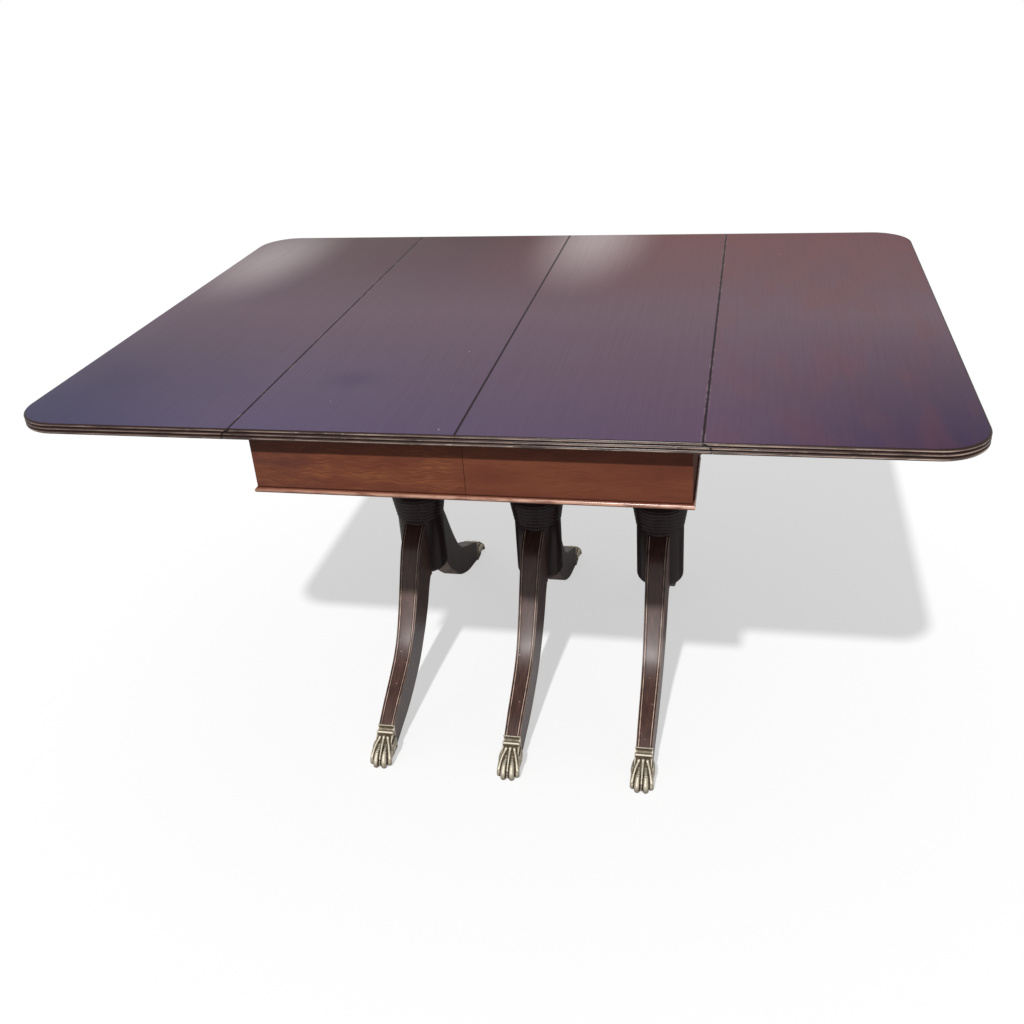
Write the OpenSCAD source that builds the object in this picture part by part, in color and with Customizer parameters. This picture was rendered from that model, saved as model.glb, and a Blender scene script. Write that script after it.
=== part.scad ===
// Drop-leaf dining table on three pedestals. Two halves slide apart on wooden slides, each carries a
// leaf on rule joint hinges, and each pedestal has a front and a rear sabre leg with a brass paw.
// Origin on the floor below the middle column, +X along the table, the front is -Y. Millimetres.

/* [Top] */
// Height of the top surface above the floor
table_h = 749; // [740:1:765]
// Thickness of the top and leaf boards
top_t = 18; // [17:0.5:20]
// Length of one half of the top, from the meeting edge to the hinge line
half_len = 340; // [335:1:370]
// Length of one leaf, from the hinge line to its end
leaf_len = 370; // [300:1:400]
// Depth of the top, front to rear
top_depth = 1050; // [1000:1:1150]
// Plan radius of the leaf corners
corner_r = 75; // [50:1:100]
// Radius of one reed on the edges
reed_r = 3.15; // [2.8:0.05:3.3]
// Gap left at each seam between boards
seam_gap = 0.3; // [0.2:0.1:0.5]

/* [Rule joint hinges] */
// Height of the upright lip above the quarter round
rule_lip = 3; // [2.5:0.5:4]
// Height of the hinge pin above the underside of the boards
pin_up = 2.5; // [2.5:0.1:3]
// Gap between the quarter round and the cove
rule_gap = 0.5; // [0.4:0.1:0.8]
// Width of one hinge
hinge_w = 40; // [36:1:50]
// Distance of the outer hinges in from the edge of the top
hinge_in = 95; // [85:1:105]
// Radius of the hinge knuckles
knuckle_r = 3; // [2.8:0.1:3.2]
// Radius of the hinge pins
hinge_pin_r = 1.5; // [1.2:0.1:1.8]

/* [Apron] */
// Height of the apron with its bead
apron_drop = 101; // [95:1:105]
// Thickness of the apron boards
apron_t = 19; // [16:1:21]
// Distance of the long aprons in from the edge of the top
apron_setback = 31; // [20:1:40]
// Distance of the end apron in from the hinge line
end_setback = 13; // [12:1:15]
// Height of the bead, which is also its diameter
bead_h = 8; // [6:0.5:9]
// Leg length of the corner blocks
block_leg = 40; // [30:1:45]
// Height of the corner blocks
block_h = 76; // [50:1:85]

/* [Extension slides] */
// Travel of each half
slide_travel = 280; // [200:1:280]
// Thickness of one slide member
rail_w = 22; // [20:1:26]
// Height of one slide member
rail_h = 42; // [38:1:44]
// Distance of each set of slides from the middle
rail_y = 130; // [115:1:150]
// Depth of the tongue on the moving members
tongue_d = 6; // [5:0.5:7]
// Height of the tongue
tongue_h = 10; // [8:1:14]
// Side gap between slide members and around the tongue
slide_gap = 0.5; // [0.3:0.1:0.8]
// Gap over and under the slide members
lift_gap = 0.3; // [0.2:0.1:0.5]

/* [Equalizer] */
// Number of teeth on the pinion
pinion_teeth = 16; // [16:2:20]
// Gear module
gear_m = 2.5; // [2.2:0.1:2.6]
// Thickness of the pinion and the racks
gear_w = 14; // [10:1:16]
// Play between the teeth, measured along the rack
backlash = 0.3; // [0.2:0.05:0.5]
// Width of the solid back of a rack
rack_back = 10; // [8:1:14]
// Radius of the pinion stud
stud_r = 6; // [5:0.5:7]

/* [Pedestals] */
// Distance between neighbouring columns
column_pitch = 243; // [235:1:255]
// Radius of the column where the legs join
column_r = 46; // [42:1:48]
// Height of the lower end of the columns above the floor
column_foot = 201; // [192:1:206]
// Height at which the legs end, just under the ring collar
collar_z = 322; // [312:1:330]
// Depth of the bolsters below the slides
bolster_h = 33; // [28:1:36]
// Width of the bolsters along the table
bolster_w = 90; // [80:1:96]
// Radius of the tenon at the top of the columns
tenon_r = 22; // [18:1:26]
// Height of that tenon
tenon_h = 17; // [12:1:18]

/* [Legs and paws] */
// Distance from the column axis to the end of the leg
leg_reach = 340; // [320:1:350]
// Width of a leg at the column
leg_w_top = 43; // [40:1:46]
// Width of a leg at the knee
leg_w_knee = 35; // [32:1:38]
// Width of a leg at the paw
leg_w_foot = 30; // [28:1:31]
// Length of a paw beyond the end of the leg
paw_len = 66; // [60:1:72]
// Width of a paw across the toes
paw_w = 44; // [40:1:48]
// Width of the band that holds the end of the leg
band_w = 33; // [32:1:35]

/* [Leaf stays] */
// Distance of the stays in from the long aprons
stay_in = 145; // [115:1:175]
// Distance of both stay pins from the hinge pin
stay_r = 95; // [92:1:97]
// Distance of the pivot on the leaf below the hinge pin
stay_ear_drop = 11; // [11:0.5:12]
// Distance of the fixed pin in from the hinge pin
stay_pin_in = 42; // [41:0.5:44]
// Width of the arm
stay_w = 11; // [10:0.5:12]
// Thickness of the arm
stay_t = 3; // [2.5:0.5:4]
// Radius of the stay pins
stay_pin_r = 2; // [1.8:0.1:2.2]

/* [Locks and pins] */
// Distance of the locks in from the long aprons
lock_in = 75; // [70:1:90]
// Distance of the lever pivot from the meeting edge
lock_back = 22; // [20:1:24]
// Distance of the keeper stud from the meeting edge
keeper_in = 8; // [7:0.5:10]
// Radius of the keeper stud
keeper_r = 2.5; // [2:0.1:3]
// Radius of the wooden pins in the meeting edge
dowel_r = 4; // [3:0.5:4.5]
// Length of a wooden pin that stands out
dowel_out = 14; // [10:1:18]
// Distance of the outer wooden pins in from the edge of the top
dowel_edge = 55; // [40:1:70]
// Distance between two wooden pins on one side
dowel_step = 220; // [150:1:250]

/* [Fasteners] */
// Radius of the thick screws
bolt_r = 2.5; // [2:0.1:2.8]
// Radius of the thin screws
screw_r = 1.6; // [1.4:0.1:1.8]
// Gap around a fastener, and between pieces that are fixed together
fit_gap = 0.1; // [0.05:0.01:0.15]
// Gap around a shaft that turns
turn_gap = 0.06; // [0.04:0.01:0.1]

/* [Hidden] */
$fn = 64;
reed_count = 3;
under_z = table_h - top_t;
half_depth = top_depth / 2;
pin_z = under_z + pin_up;
rule_r = top_t - rule_lip - pin_up;
cove_r = rule_r + rule_gap;
edge_x = seam_gap / 2;
leaf_x = half_len + leaf_len;

plate_t = pin_up;
plate_back = 28;
plate_out = 42;
plate_screw_y = hinge_w * 0.3;
plate_screw_in = 16;
plate_screw_out = 28;
knuckle_n = 5;
knuckle_space = 0.3;
swing_gap = 0.4;
hinge_y = half_depth - hinge_in;
hinge_places = [-hinge_y, 0, hinge_y];

apron_z = under_z - apron_drop;
apron_y = half_depth - apron_setback;
apron_x = half_len - end_setback;
bead_r = bead_h / 2;
box_x = apron_x - apron_t;
box_y = apron_y - apron_t;
stay_y = box_y - stay_in;
lock_y = box_y - lock_in;

rail_top = under_z - lift_gap;
rail_z = rail_top - rail_h;
rail_end_space = 8;
rail_end = box_x - rail_end_space;
rail_step = rail_w + slide_gap;
groove_d = tongue_d + slide_gap;
groove_h = tongue_h + 2 * slide_gap;
bolster_top = rail_z - lift_gap;
bolster_z = bolster_top - bolster_h;
bolster_over = 18;
bolster_len = 2 * (rail_y + rail_step + rail_w / 2 + bolster_over);

pressure_angle = 20;
pitch_r = gear_m * pinion_teeth / 2;
addendum = 0.8 * gear_m;
dedendum = 1.1 * gear_m;
tooth_pitch = PI * gear_m;
tooth_half = tooth_pitch / 4 - backlash / 4;
base_r = pitch_r * cos(pressure_angle);
gear_tip_r = pitch_r + addendum;
gear_root_r = pitch_r - dedendum;
flank_steps = 6;
rack_teeth = ceil(slide_travel / tooth_pitch) + 2;
rack_root_y = pitch_r + dedendum;
rack_start = -column_pitch - bolster_w / 2;
rack_end = (rack_teeth - 0.5) * tooth_pitch;
stud_head_r = 11;
stud_head_h = 3;
stud_deep = bolster_h - tenon_h - 2;

board_bite = 10;
rail_cover = 14;
board_screw_step = 110;
bolster_screw_in = 28;
rail_screw_len = bolster_h + 16;
rack_screw_len = gear_w + 16;

round_r = 14;
ring_count = 6;
ring_pitch = 8;
ring_r = 4.4;
ring_out = 1;
groove_deep = 2;
ring_z = collar_z + 3;
collar_flare = 8;
leg_cut_r = column_r + fit_gap;
key_depth = 12;
key_w = 14;
key_flare = 3;
key_low = column_foot + 16;
key_top = collar_z - 18;

// Outer and inner curve of a leg, as shares of its reach beyond the column and of its top's height
leg_face = [[0, 0.99], [0.055, 0.962], [0.092, 0.938], [0.131, 0.907], [0.163, 0.87], [0.22, 0.786],
    [0.33, 0.615], [0.45, 0.46], [0.56, 0.37], [0.70, 0.30], [0.88, 0.225], [1, 0.165]];
leg_sole = [[0, 0.62], [0.048, 0.568], [0.115, 0.478], [0.197, 0.392], [0.272, 0.328], [0.354, 0.262],
    [0.43, 0.208], [0.54, 0.152], [0.71, 0.087], [0.864, 0.047], [1, 0.014]];
leg_steps = 3;
knee_share = 0.5;
leg_tenon_len = 15;
leg_tenon_w = 22;
leg_tenon_low = 14;
leg_tenon_top = 38;
band_len = 16;
toe_facets = 20;

ear_x = sqrt(pow(stay_r, 2) - pow(stay_ear_drop, 2));
pin_drop = sqrt(pow(stay_r, 2) - pow(stay_pin_in, 2));
stay_angle = atan2(pin_drop - stay_ear_drop, ear_x + stay_pin_in);
stay_far = norm([ear_x + stay_pin_in, pin_drop - stay_ear_drop]);
stay_near = norm([stay_pin_in - stay_ear_drop, ear_x - pin_drop]);
slot_play = 0.2;
slot_spare = 0.5;
notch_w = 14;
notch_rise = (stay_w / 2 + 2) / cos(stay_angle);
notch_top = pin_z - stay_ear_drop - (ear_x + end_setback) * tan(stay_angle) + notch_rise;
bracket_t = 2.5;
bracket_w = 18;
bracket_h = 34;
ear_t = 2.5;
ear_space = 0.5;
ear_round = 6;
ear_plate_t = 2;
ear_plate_w = 28;
ear_plate_in = 14;
ear_plate_len = 45;
ear_screw_bite = 10;
bracket_screw_len = 14;

lock_plate_t = 3;
lock_plate_len = 50;
lock_hub_r = 8;
lock_lever_t = 5;
lock_space = 2;
lock_rib_w = 4;
lock_rib_r = lock_back + keeper_in + keeper_r + 0.5;
lock_pivot_r = 4;
lock_head_r = 6;
lock_head_h = 2;
lock_lever_top = under_z - lock_plate_t - lock_space;
lock_stud_low = lock_lever_top - lock_lever_t;
lock_handle = 34;
lock_screw_len = 12;
dowel_in = 14;
dowel_z = under_z + top_t / 2;
dowel_places = [for (way = [-1, 1], step = [0, 1]) way * (half_depth - dowel_edge - step * dowel_step)];

mahogany_top = [0.30, 0.13, 0.10];
mahogany_apron = [0.42, 0.22, 0.16];
mahogany_dark = [0.17, 0.10, 0.09];
beech = [0.72, 0.58, 0.42];
brass = [0.62, 0.54, 0.36];
steel = [0.55, 0.55, 0.56];

// Pieces are drawn for the right half and mirrored to the left one. Front pieces have end = -1.
module on_side(side) {
    if (side < 0) mirror([1, 0, 0]) children();
    else children();
}

module on_end(end) {
    if (end > 0) mirror([0, 1, 0]) children();
    else children();
}

// A body drawn for the left half turns by half a turn to serve the right one
module turned_to(side) {
    rotate([0, 0, side > 0 ? 180 : 0]) children();
}

// Smooth curve through a list of points
function curve_point(p0, p1, p2, p3, t) =
    0.5 * (2 * p1 + (p2 - p0) * t + (2 * p0 - 5 * p1 + 4 * p2 - p3) * t * t
    + (3 * p1 - p0 - 3 * p2 + p3) * t * t * t);
function curve(pts, steps) = [
    for (i = [0 : len(pts) - 2], k = [0 : steps - 1])
        curve_point(pts[max(i - 1, 0)], pts[i], pts[i + 1], pts[min(i + 2, len(pts) - 1)], k / steps),
    pts[len(pts) - 1]
];

function flip(pts) = [for (i = [len(pts) - 1 : -1 : 0]) pts[i]];

// Countersunk fastener that points up: its head is flush with z = 0
module screw(r, length) {
    cylinder(r1 = 2 * r, r2 = r, h = r);
    cylinder(r = r, h = length);
}

module screw_hole(r, length) {
    translate([0, 0, -1]) cylinder(r = 2 * r + fit_gap, h = 1);
    cylinder(r1 = 2 * r + fit_gap, r2 = r + fit_gap, h = r);
    cylinder(r = r + fit_gap, h = length + fit_gap);
}

// Edge outline of a board: a block that ends in three reeds at x = reach
module reeded_edge(reach) {
    square([reach - reed_r, top_t]);
    for (i = [0 : reed_count - 1])
        translate([reach - reed_r, reed_r + i * (top_t - 2 * reed_r) / (reed_count - 1)])
            circle(reed_r);
}

module board_section() {
    reeded_edge(half_depth);
    mirror([1, 0]) reeded_edge(half_depth);
}

// Upright section along the table: square at the meeting edge, quarter round over the hinge pin
module rule_section() {
    square([half_len, top_t]);
    square([half_len + rule_r, pin_up]);
    translate([half_len, pin_up]) intersection() {
        circle(rule_r);
        square(rule_r);
    }
}

module at_hinges() {
    for (y = hinge_places) translate([half_len, y, pin_z]) children();
}

module at_plate_screws(x) {
    for (y = [-plate_screw_y, plate_screw_y]) translate([x, y, -pin_up]) children();
}

// Recess for the hinge plate, its knuckles and the plate that swings with the leaf
module hinge_recess() {
    translate([-plate_back, -hinge_w / 2, -plate_t - 1]) cube([plate_back, hinge_w, plate_t + 1]);
    translate([0, -hinge_w / 2 - swing_gap, -plate_t - 1])
        cube([rule_r + 1, hinge_w + 2 * swing_gap, plate_t + 1 + swing_gap]);
    rotate([90, 0, 0]) cylinder(r = knuckle_r + swing_gap, h = hinge_w + 2 * swing_gap, center = true);
    at_plate_screws(-plate_screw_in) screw_hole(screw_r, top_t * 0.6);
}

module top_board(side) {
    difference() {
        intersection() {
            translate([edge_x, 0, under_z]) rotate([90, 0, 90])
                linear_extrude(half_len + rule_r) board_section();
            translate([0, half_depth + 1, under_z]) rotate([90, 0, 0])
                linear_extrude(top_depth + 2) rule_section();
        }
        at_hinges() hinge_recess();
        at_dowels() rotate([0, 90, 0])
            cylinder(r = dowel_r + (side < 0 ? fit_gap : lift_gap), h = 2 * (dowel_in + 1), center = true);
        at_lock_screws(side) screw_hole(screw_r, lock_screw_len);
    }
}

module top(side) {
    color(mahogany_top) difference() {
        on_side(side) top_board(side);
        turned_to(side) at_board_screws()
            cylinder(r = bolt_r + fit_gap, h = board_bite + rail_cover + fit_gap);
    }
}

// Hinge half with its knuckles, drawn towards +X from the pin. Knuckles with even numbers are its own.
module hinge_half(reach, first, screw_x) {
    seg = hinge_w / knuckle_n;
    difference() {
        union() {
            translate([knuckle_r + swing_gap, -hinge_w / 2, -plate_t])
                cube([reach - knuckle_r - swing_gap, hinge_w, plate_t]);
            for (i = [first : 2 : knuckle_n - 1])
                translate([0, -hinge_w / 2 + i * seg + knuckle_space / 2, 0]) {
                    translate([0, 0, -plate_t])
                        cube([knuckle_r + 2 * swing_gap, seg - knuckle_space, plate_t]);
                    rotate([-90, 0, 0]) cylinder(r = knuckle_r, h = seg - knuckle_space);
                }
        }
        rotate([90, 0, 0]) cylinder(r = hinge_pin_r + turn_gap, h = hinge_w + 2, center = true);
        at_plate_screws(screw_x) screw_hole(screw_r, plate_t + 1);
    }
}

module hinge_plates(side) {
    color(brass) on_side(side) at_hinges() {
        mirror([1, 0, 0]) hinge_half(plate_back, 0, plate_screw_in);
        rotate([90, 0, 0]) cylinder(r = hinge_pin_r, h = hinge_w, center = true);
    }
}

// Aprons, bead and corner blocks
module stay_notch() {
    for (y = [-stay_y, stay_y])
        translate([box_x - 1, y - notch_w / 2, apron_z - 1])
            cube([apron_t + bead_r + 2, notch_w, notch_top - apron_z + 1]);
}

module long_apron(side, end) {
    color(mahogany_apron) on_side(side) on_end(end)
        translate([edge_x, -apron_y, apron_z + bead_h])
            cube([apron_x - edge_x, apron_t, apron_drop - bead_h]);
}

module end_apron(side) {
    color(mahogany_apron) on_side(side) difference() {
        translate([box_x, -box_y, apron_z + bead_h])
            cube([apron_t, 2 * box_y, apron_drop - bead_h]);
        stay_notch();
        at_brackets() bracket_screw_holes();
    }
}

module bead_section() {
    square([apron_t, bead_h]);
    translate([apron_t, bead_r]) circle(bead_r);
}

module apron_bead(side) {
    out_x = apron_x + bead_r;
    out_y = apron_y + bead_r;
    color(mahogany_apron) on_side(side) {
        for (end = [-1, 1]) on_end(end) intersection() {
            translate([edge_x, -box_y, apron_z]) rotate([90, 0, 90]) mirror([1, 0])
                linear_extrude(out_x) bead_section();
            translate([0, 0, apron_z - 1]) linear_extrude(bead_h + 2)
                polygon([[edge_x, -box_y], [box_x - fit_gap, -box_y], [out_x - fit_gap, -out_y],
                    [edge_x, -out_y]]);
        }
        difference() {
            intersection() {
                translate([box_x, out_y, apron_z]) rotate([90, 0, 0])
                    linear_extrude(2 * out_y) bead_section();
                translate([0, 0, apron_z - 1]) linear_extrude(bead_h + 2)
                    polygon([[box_x, -box_y], [out_x, -out_y], [out_x, out_y], [box_x, box_y]]);
            }
            stay_notch();
        }
    }
}

module corner_blocks(side) {
    color(beech) on_side(side) for (end = [-1, 1]) on_end(end)
        translate([box_x, -box_y, under_z - block_h]) linear_extrude(block_h)
            polygon([[0, 0], [-block_leg, 0], [0, block_leg]]);
}

// Extension slides. Members of a half lie on one side of the fixed members, with the tongue inwards.

module at_board_screws() {
    for (y = [-rail_y, rail_y], i = [0, 1])
        translate([-rail_end / 2 + (i - 0.5) * board_screw_step, y - rail_step, rail_top - rail_cover])
            children();
}

module at_rail_screws(x, y_shift) {
    for (y = [-rail_y, rail_y], dx = [-bolster_screw_in, bolster_screw_in])
        translate([x + dx, y + y_shift, bolster_z]) children();
}

module slide_rails(side) {
    tongue_z = rail_z + (rail_h - tongue_h) / 2;
    color(beech) turned_to(side) difference() {
        for (y = [-rail_y, rail_y]) {
            translate([-rail_end, y - rail_step - rail_w / 2, rail_z])
                cube([2 * rail_end, rail_w, rail_h]);
            translate([-rail_end, y - rail_step + rail_w / 2 - 1, tongue_z])
                cube([2 * rail_end, tongue_d + 1, tongue_h]);
        }
        at_board_screws() {
            cylinder(r = bolt_r + fit_gap, h = rail_cover + 1);
            translate([0, 0, -rail_h]) cylinder(r = 2 * bolt_r + fit_gap, h = rail_h + 0.01);
        }
        at_rail_screws(-column_pitch, -rail_step) screw_hole(bolt_r, rail_screw_len);
    }
}

module centre_slide_rails() {
    color(beech) difference() {
        for (y = [-rail_y, rail_y])
            translate([-rail_end, y - rail_w / 2, rail_z]) cube([2 * rail_end, rail_w, rail_h]);
        for (y = [-rail_y, rail_y], way = [-1, 1])
            translate([-rail_end - 1, y + way * rail_w / 2 - groove_d, rail_z + (rail_h - groove_h) / 2])
                cube([2 * rail_end + 2, 2 * groove_d, groove_h]);
        at_rail_screws(0, 0) screw_hole(bolt_r, rail_screw_len);
    }
}

module bolster(x, y_shift) {
    difference() {
        translate([x - bolster_w / 2, -bolster_len / 2, bolster_z])
            cube([bolster_w, bolster_len, bolster_h]);
        translate([x, 0, bolster_z - 1]) cylinder(r = tenon_r + fit_gap, h = tenon_h + 1 + fit_gap);
        at_rail_screws(x, y_shift) screw_hole(bolt_r, rail_screw_len);
        children();
    }
}

module half_bolster(side) {
    color(mahogany_dark) turned_to(side) bolster(-column_pitch, -rail_step)
        at_rack_screws() screw_hole(bolt_r, rack_screw_len);
}

module centre_bolster() {
    color(mahogany_dark) bolster(0, 0)
        translate([0, 0, bolster_top - stud_deep]) cylinder(r = stud_r + fit_gap, h = stud_deep + 1);
}

// Equalizer: a pinion between two racks, so that both halves move alike
function roll(r) = r <= base_r ? 0 : (sqrt(pow(r / base_r, 2) - 1) * 180 / PI - acos(base_r / r));
function tooth_angle(r) = (tooth_half / pitch_r) * 180 / PI + roll(pitch_r) - roll(r);
function flank_r(i) = i == 0 ? gear_root_r : base_r + (gear_tip_r - base_r) * (i - 1) / (flank_steps - 1);
function on_circle(r, a) = [r * cos(a), r * sin(a)];

module equalizer_pinion() {
    step = 360 / pinion_teeth;
    color(steel) translate([0, 0, rail_z]) difference() {
        linear_extrude(gear_w) polygon([
            for (k = [0 : pinion_teeth - 1]) each concat(
                [for (i = [0 : flank_steps]) on_circle(flank_r(i), 90 + (k + 0.5) * step
                    - tooth_angle(flank_r(i)))],
                [for (i = [flank_steps : -1 : 0]) on_circle(flank_r(i), 90 + (k + 0.5) * step
                    + tooth_angle(flank_r(i)))])
        ]);
        translate([0, 0, -1]) cylinder(r = stud_r + turn_gap, h = gear_w + 2);
    }
}

module at_rack_screws() {
    for (dx = [-bolster_screw_in, bolster_screw_in])
        translate([-column_pitch + dx, rack_root_y + rack_back / 2, rail_z + gear_w])
            rotate([180, 0, 0]) children();
}

module rack(side) {
    tip_half = tooth_half - addendum * tan(pressure_angle);
    root_half = tooth_half + dedendum * tan(pressure_angle);
    back_y = rack_root_y + rack_back;
    color(steel) turned_to(side) difference() {
        translate([0, 0, rail_z]) linear_extrude(gear_w) polygon(concat(
            [[rack_end, back_y], [rack_start, back_y], [rack_start, rack_root_y]],
            [for (k = [-1 : rack_teeth - 1]) each [
                [k * tooth_pitch - root_half, rack_root_y],
                [k * tooth_pitch - tip_half, pitch_r - addendum],
                [k * tooth_pitch + tip_half, pitch_r - addendum],
                [k * tooth_pitch + root_half, rack_root_y]]],
            [[rack_end, rack_root_y]]));
        at_rack_screws() screw_hole(bolt_r, rack_screw_len);
    }
}

// Columns, turned from one piece with a tenon at the top
module column_outline() {
    top_len = bolster_z - collar_z;
    vase_z = collar_z + 64;
    groove_r = column_r - groove_deep;
    polygon(concat(
        [[0, column_foot]],
        [for (a = [-90 : 15 : 0]) [column_r - round_r + round_r * cos(a),
            column_foot + round_r + round_r * sin(a)]],
        [[column_r, collar_z], [column_r, ring_z], [groove_r, ring_z],
            [groove_r + collar_flare, ring_z + ring_count * ring_pitch],
            [column_r + collar_flare, ring_z + ring_count * ring_pitch],
            [column_r + collar_flare, vase_z - 10], [column_r - 2, vase_z]],
        curve([[column_r - 6, vase_z + 6], [column_r - 2, vase_z + top_len * 0.16],
            [column_r - 12, vase_z + top_len * 0.34], [column_r - 20, bolster_z - 46],
            [column_r - 14, bolster_z - 26]], 5),
        [[column_r - 4, bolster_z - 22], [column_r, bolster_z - 12], [column_r - 4, bolster_z],
            [tenon_r, bolster_z], [tenon_r, bolster_z + tenon_h], [0, bolster_z + tenon_h]]));
    for (i = [0 : ring_count - 1])
        translate([column_r + ring_out - ring_r + collar_flare * (i + 0.5) / ring_count,
            ring_z + ring_pitch * (i + 0.5)]) circle(ring_r);
}

module key(gap) {
    low = key_low - (gap > 0 ? key_low - column_foot + 1 : 0);
    translate([0, 0, low]) linear_extrude(key_top + gap - low)
        polygon([[column_r - key_depth - gap, -key_w / 2 - key_flare - gap],
            [column_r + 2, -key_w / 2 - gap], [column_r + 2, key_w / 2 + gap],
            [column_r - key_depth - gap, key_w / 2 + key_flare + gap]]);
}

module column(place) {
    color(mahogany_dark) translate([place * column_pitch, 0, 0]) difference() {
        rotate_extrude() column_outline();
        for (a = [-90, 90]) rotate([0, 0, a]) key(fit_gap);
    }
}

// Sabre legs, drawn towards +X from the column axis

function leg_points(shares) = [
    for (p = shares) [column_r + p[0] * (leg_reach - column_r), p[1] * collar_z]
];

module leg_shape() {
    inner = column_r - 10;
    knee_x = column_r + knee_share * (leg_reach - column_r);
    difference() {
        intersection() {
            translate([0, leg_w_top, 0]) rotate([90, 0, 0]) linear_extrude(2 * leg_w_top)
                polygon(concat([[inner, leg_face[0][1] * collar_z]], curve(leg_points(leg_face), leg_steps),
                    flip(curve(leg_points(leg_sole), leg_steps)), [[inner, leg_sole[0][1] * collar_z]]));
            linear_extrude(collar_z) polygon([
                [inner, -leg_w_top / 2], [knee_x, -leg_w_knee / 2], [leg_reach + 1, -leg_w_foot / 2],
                [leg_reach + 1, leg_w_foot / 2], [knee_x, leg_w_knee / 2], [inner, leg_w_top / 2]]);
        }
        cylinder(r = leg_cut_r, h = collar_z + 1);
    }
    key(0);
    translate([leg_reach - 1, -leg_tenon_w / 2, leg_tenon_low])
        cube([leg_tenon_len + 1, leg_tenon_w, leg_tenon_top - leg_tenon_low]);
}

module at_pedestal(place, end) {
    translate([place * column_pitch, 0, 0]) rotate([0, 0, 90 * end]) children();
}

module leg(place, end) {
    color(mahogany_dark) at_pedestal(place, end) leg_shape();
}

// Brass lion paw: a band around the end of the leg, four toes and a flat sole
module toe(y, reach, r) {
    hull() {
        translate([leg_reach + band_len, y * 0.6, 36]) sphere(6, $fn = toe_facets);
        translate([leg_reach + reach * 0.62, y * 0.9, 19]) sphere(r, $fn = toe_facets);
        translate([leg_reach + reach - r, y, r - 1]) sphere(r, $fn = toe_facets);
    }
}

module paw_shape() {
    side_r = 6.5;
    front_r = 8.5;
    top_in = leg_face[len(leg_face) - 1][1] * collar_z;
    difference() {
        union() {
            translate([0, band_w / 2, 0]) rotate([90, 0, 0]) linear_extrude(band_w)
                polygon([[leg_reach, 1.5], [leg_reach + band_len, 0], [leg_reach + band_len + 12, 0],
                    [leg_reach + band_len + 12, 38], [leg_reach + band_len, top_in - 6],
                    [leg_reach, top_in + 1.5]]);
            for (way = [-1, 1]) {
                toe(way * (paw_w / 2 - side_r), paw_len - 9, side_r);
                toe(way * 7.5, paw_len, front_r);
            }
        }
        translate([leg_reach - 1, -leg_tenon_w / 2 - fit_gap, leg_tenon_low - fit_gap])
            cube([leg_tenon_len + 1 + fit_gap, leg_tenon_w + 2 * fit_gap,
                leg_tenon_top - leg_tenon_low + 2 * fit_gap]);
        translate([leg_reach - 50, -paw_w, -20]) cube([paw_len + 100, 2 * paw_w, 20]);
    }
}

module paw(place, end) {
    color(brass) at_pedestal(place, end) paw_shape();
}

// Leaves, drawn for the right side
module leaf_board() {
    straight = half_depth - corner_r;
    difference() {
        union() {
            translate([half_len + seam_gap, 0, under_z]) rotate([90, 0, 90])
                linear_extrude(leaf_len - corner_r - seam_gap) board_section();
            translate([leaf_x - corner_r, straight, under_z]) rotate([90, 0, 0])
                linear_extrude(2 * straight) reeded_edge(corner_r);
            for (end = [-1, 1]) on_end(end)
                translate([leaf_x - corner_r, -straight, under_z]) rotate([0, 0, -90])
                    rotate_extrude(angle = 90) reeded_edge(corner_r);
        }
        translate([half_len, half_depth + 1, pin_z]) rotate([90, 0, 0]) {
            cylinder(r = cove_r, h = top_depth + 2);
            translate([0, -top_t, 0]) cube([cove_r, top_t, top_depth + 2]);
        }
        at_hinges() translate([0, -hinge_w / 2, -plate_t - 1]) cube([plate_out, hinge_w, plate_t + 1]);
        at_hinges() at_plate_screws(plate_screw_out) screw_hole(screw_r, top_t * 0.6);
        at_ears() ear_screws() cylinder(r = screw_r + fit_gap, h = ear_screw_bite + fit_gap);
    }
}

module leaf(side) {
    color(mahogany_top) on_side(side) leaf_board();
}

module leaf_hinge_plates(side) {
    color(brass) on_side(side) at_hinges() hinge_half(plate_out, 1, plate_screw_out);
}

// Slotted steel stays: both pins lie at one distance from the hinge pin, so that an arm turns half as
// far as its leaf
module at_ears() {
    for (y = [-stay_y, stay_y]) translate([half_len + ear_x, y, under_z]) children();
}

module ear_screws() {
    for (y = [-1, 1])
        translate([ear_plate_len - ear_plate_in - 8, y * ear_plate_w * 0.32, 0]) children();
}

module stay_ear() {
    drop = pin_z - stay_ear_drop - under_z;
    inner = stay_t / 2 + ear_space;
    difference() {
        union() {
            translate([-ear_plate_in, -ear_plate_w / 2, -ear_plate_t])
                cube([ear_plate_len, ear_plate_w, ear_plate_t]);
            for (way = [0, 1]) mirror([0, way, 0]) {
                translate([0, inner + ear_t, drop]) rotate([90, 0, 0]) cylinder(r = ear_round, h = ear_t);
                translate([-ear_round, inner, drop]) cube([2 * ear_round, ear_t, -drop - 1]);
            }
        }
        translate([0, 0, drop]) rotate([90, 0, 0])
            cylinder(r = stay_pin_r + fit_gap, h = ear_plate_w, center = true);
        ear_screws() translate([0, 0, -ear_plate_t]) screw_hole(screw_r, ear_plate_t + 1);
    }
}

module leaf_stay_ears(side) {
    rivet_w = stay_t + 2 * ear_space + 2 * ear_t;
    color(steel) on_side(side) at_ears() {
        stay_ear();
        translate([0, 0, pin_z - stay_ear_drop - under_z]) rotate([90, 0, 0]) {
            cylinder(r = stay_pin_r, h = rivet_w, center = true);
            for (way = [0, 1]) mirror([0, 0, way])
                translate([0, 0, rivet_w / 2]) cylinder(r = stay_pin_r + 1, h = 1);
        }
    }
}

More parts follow.
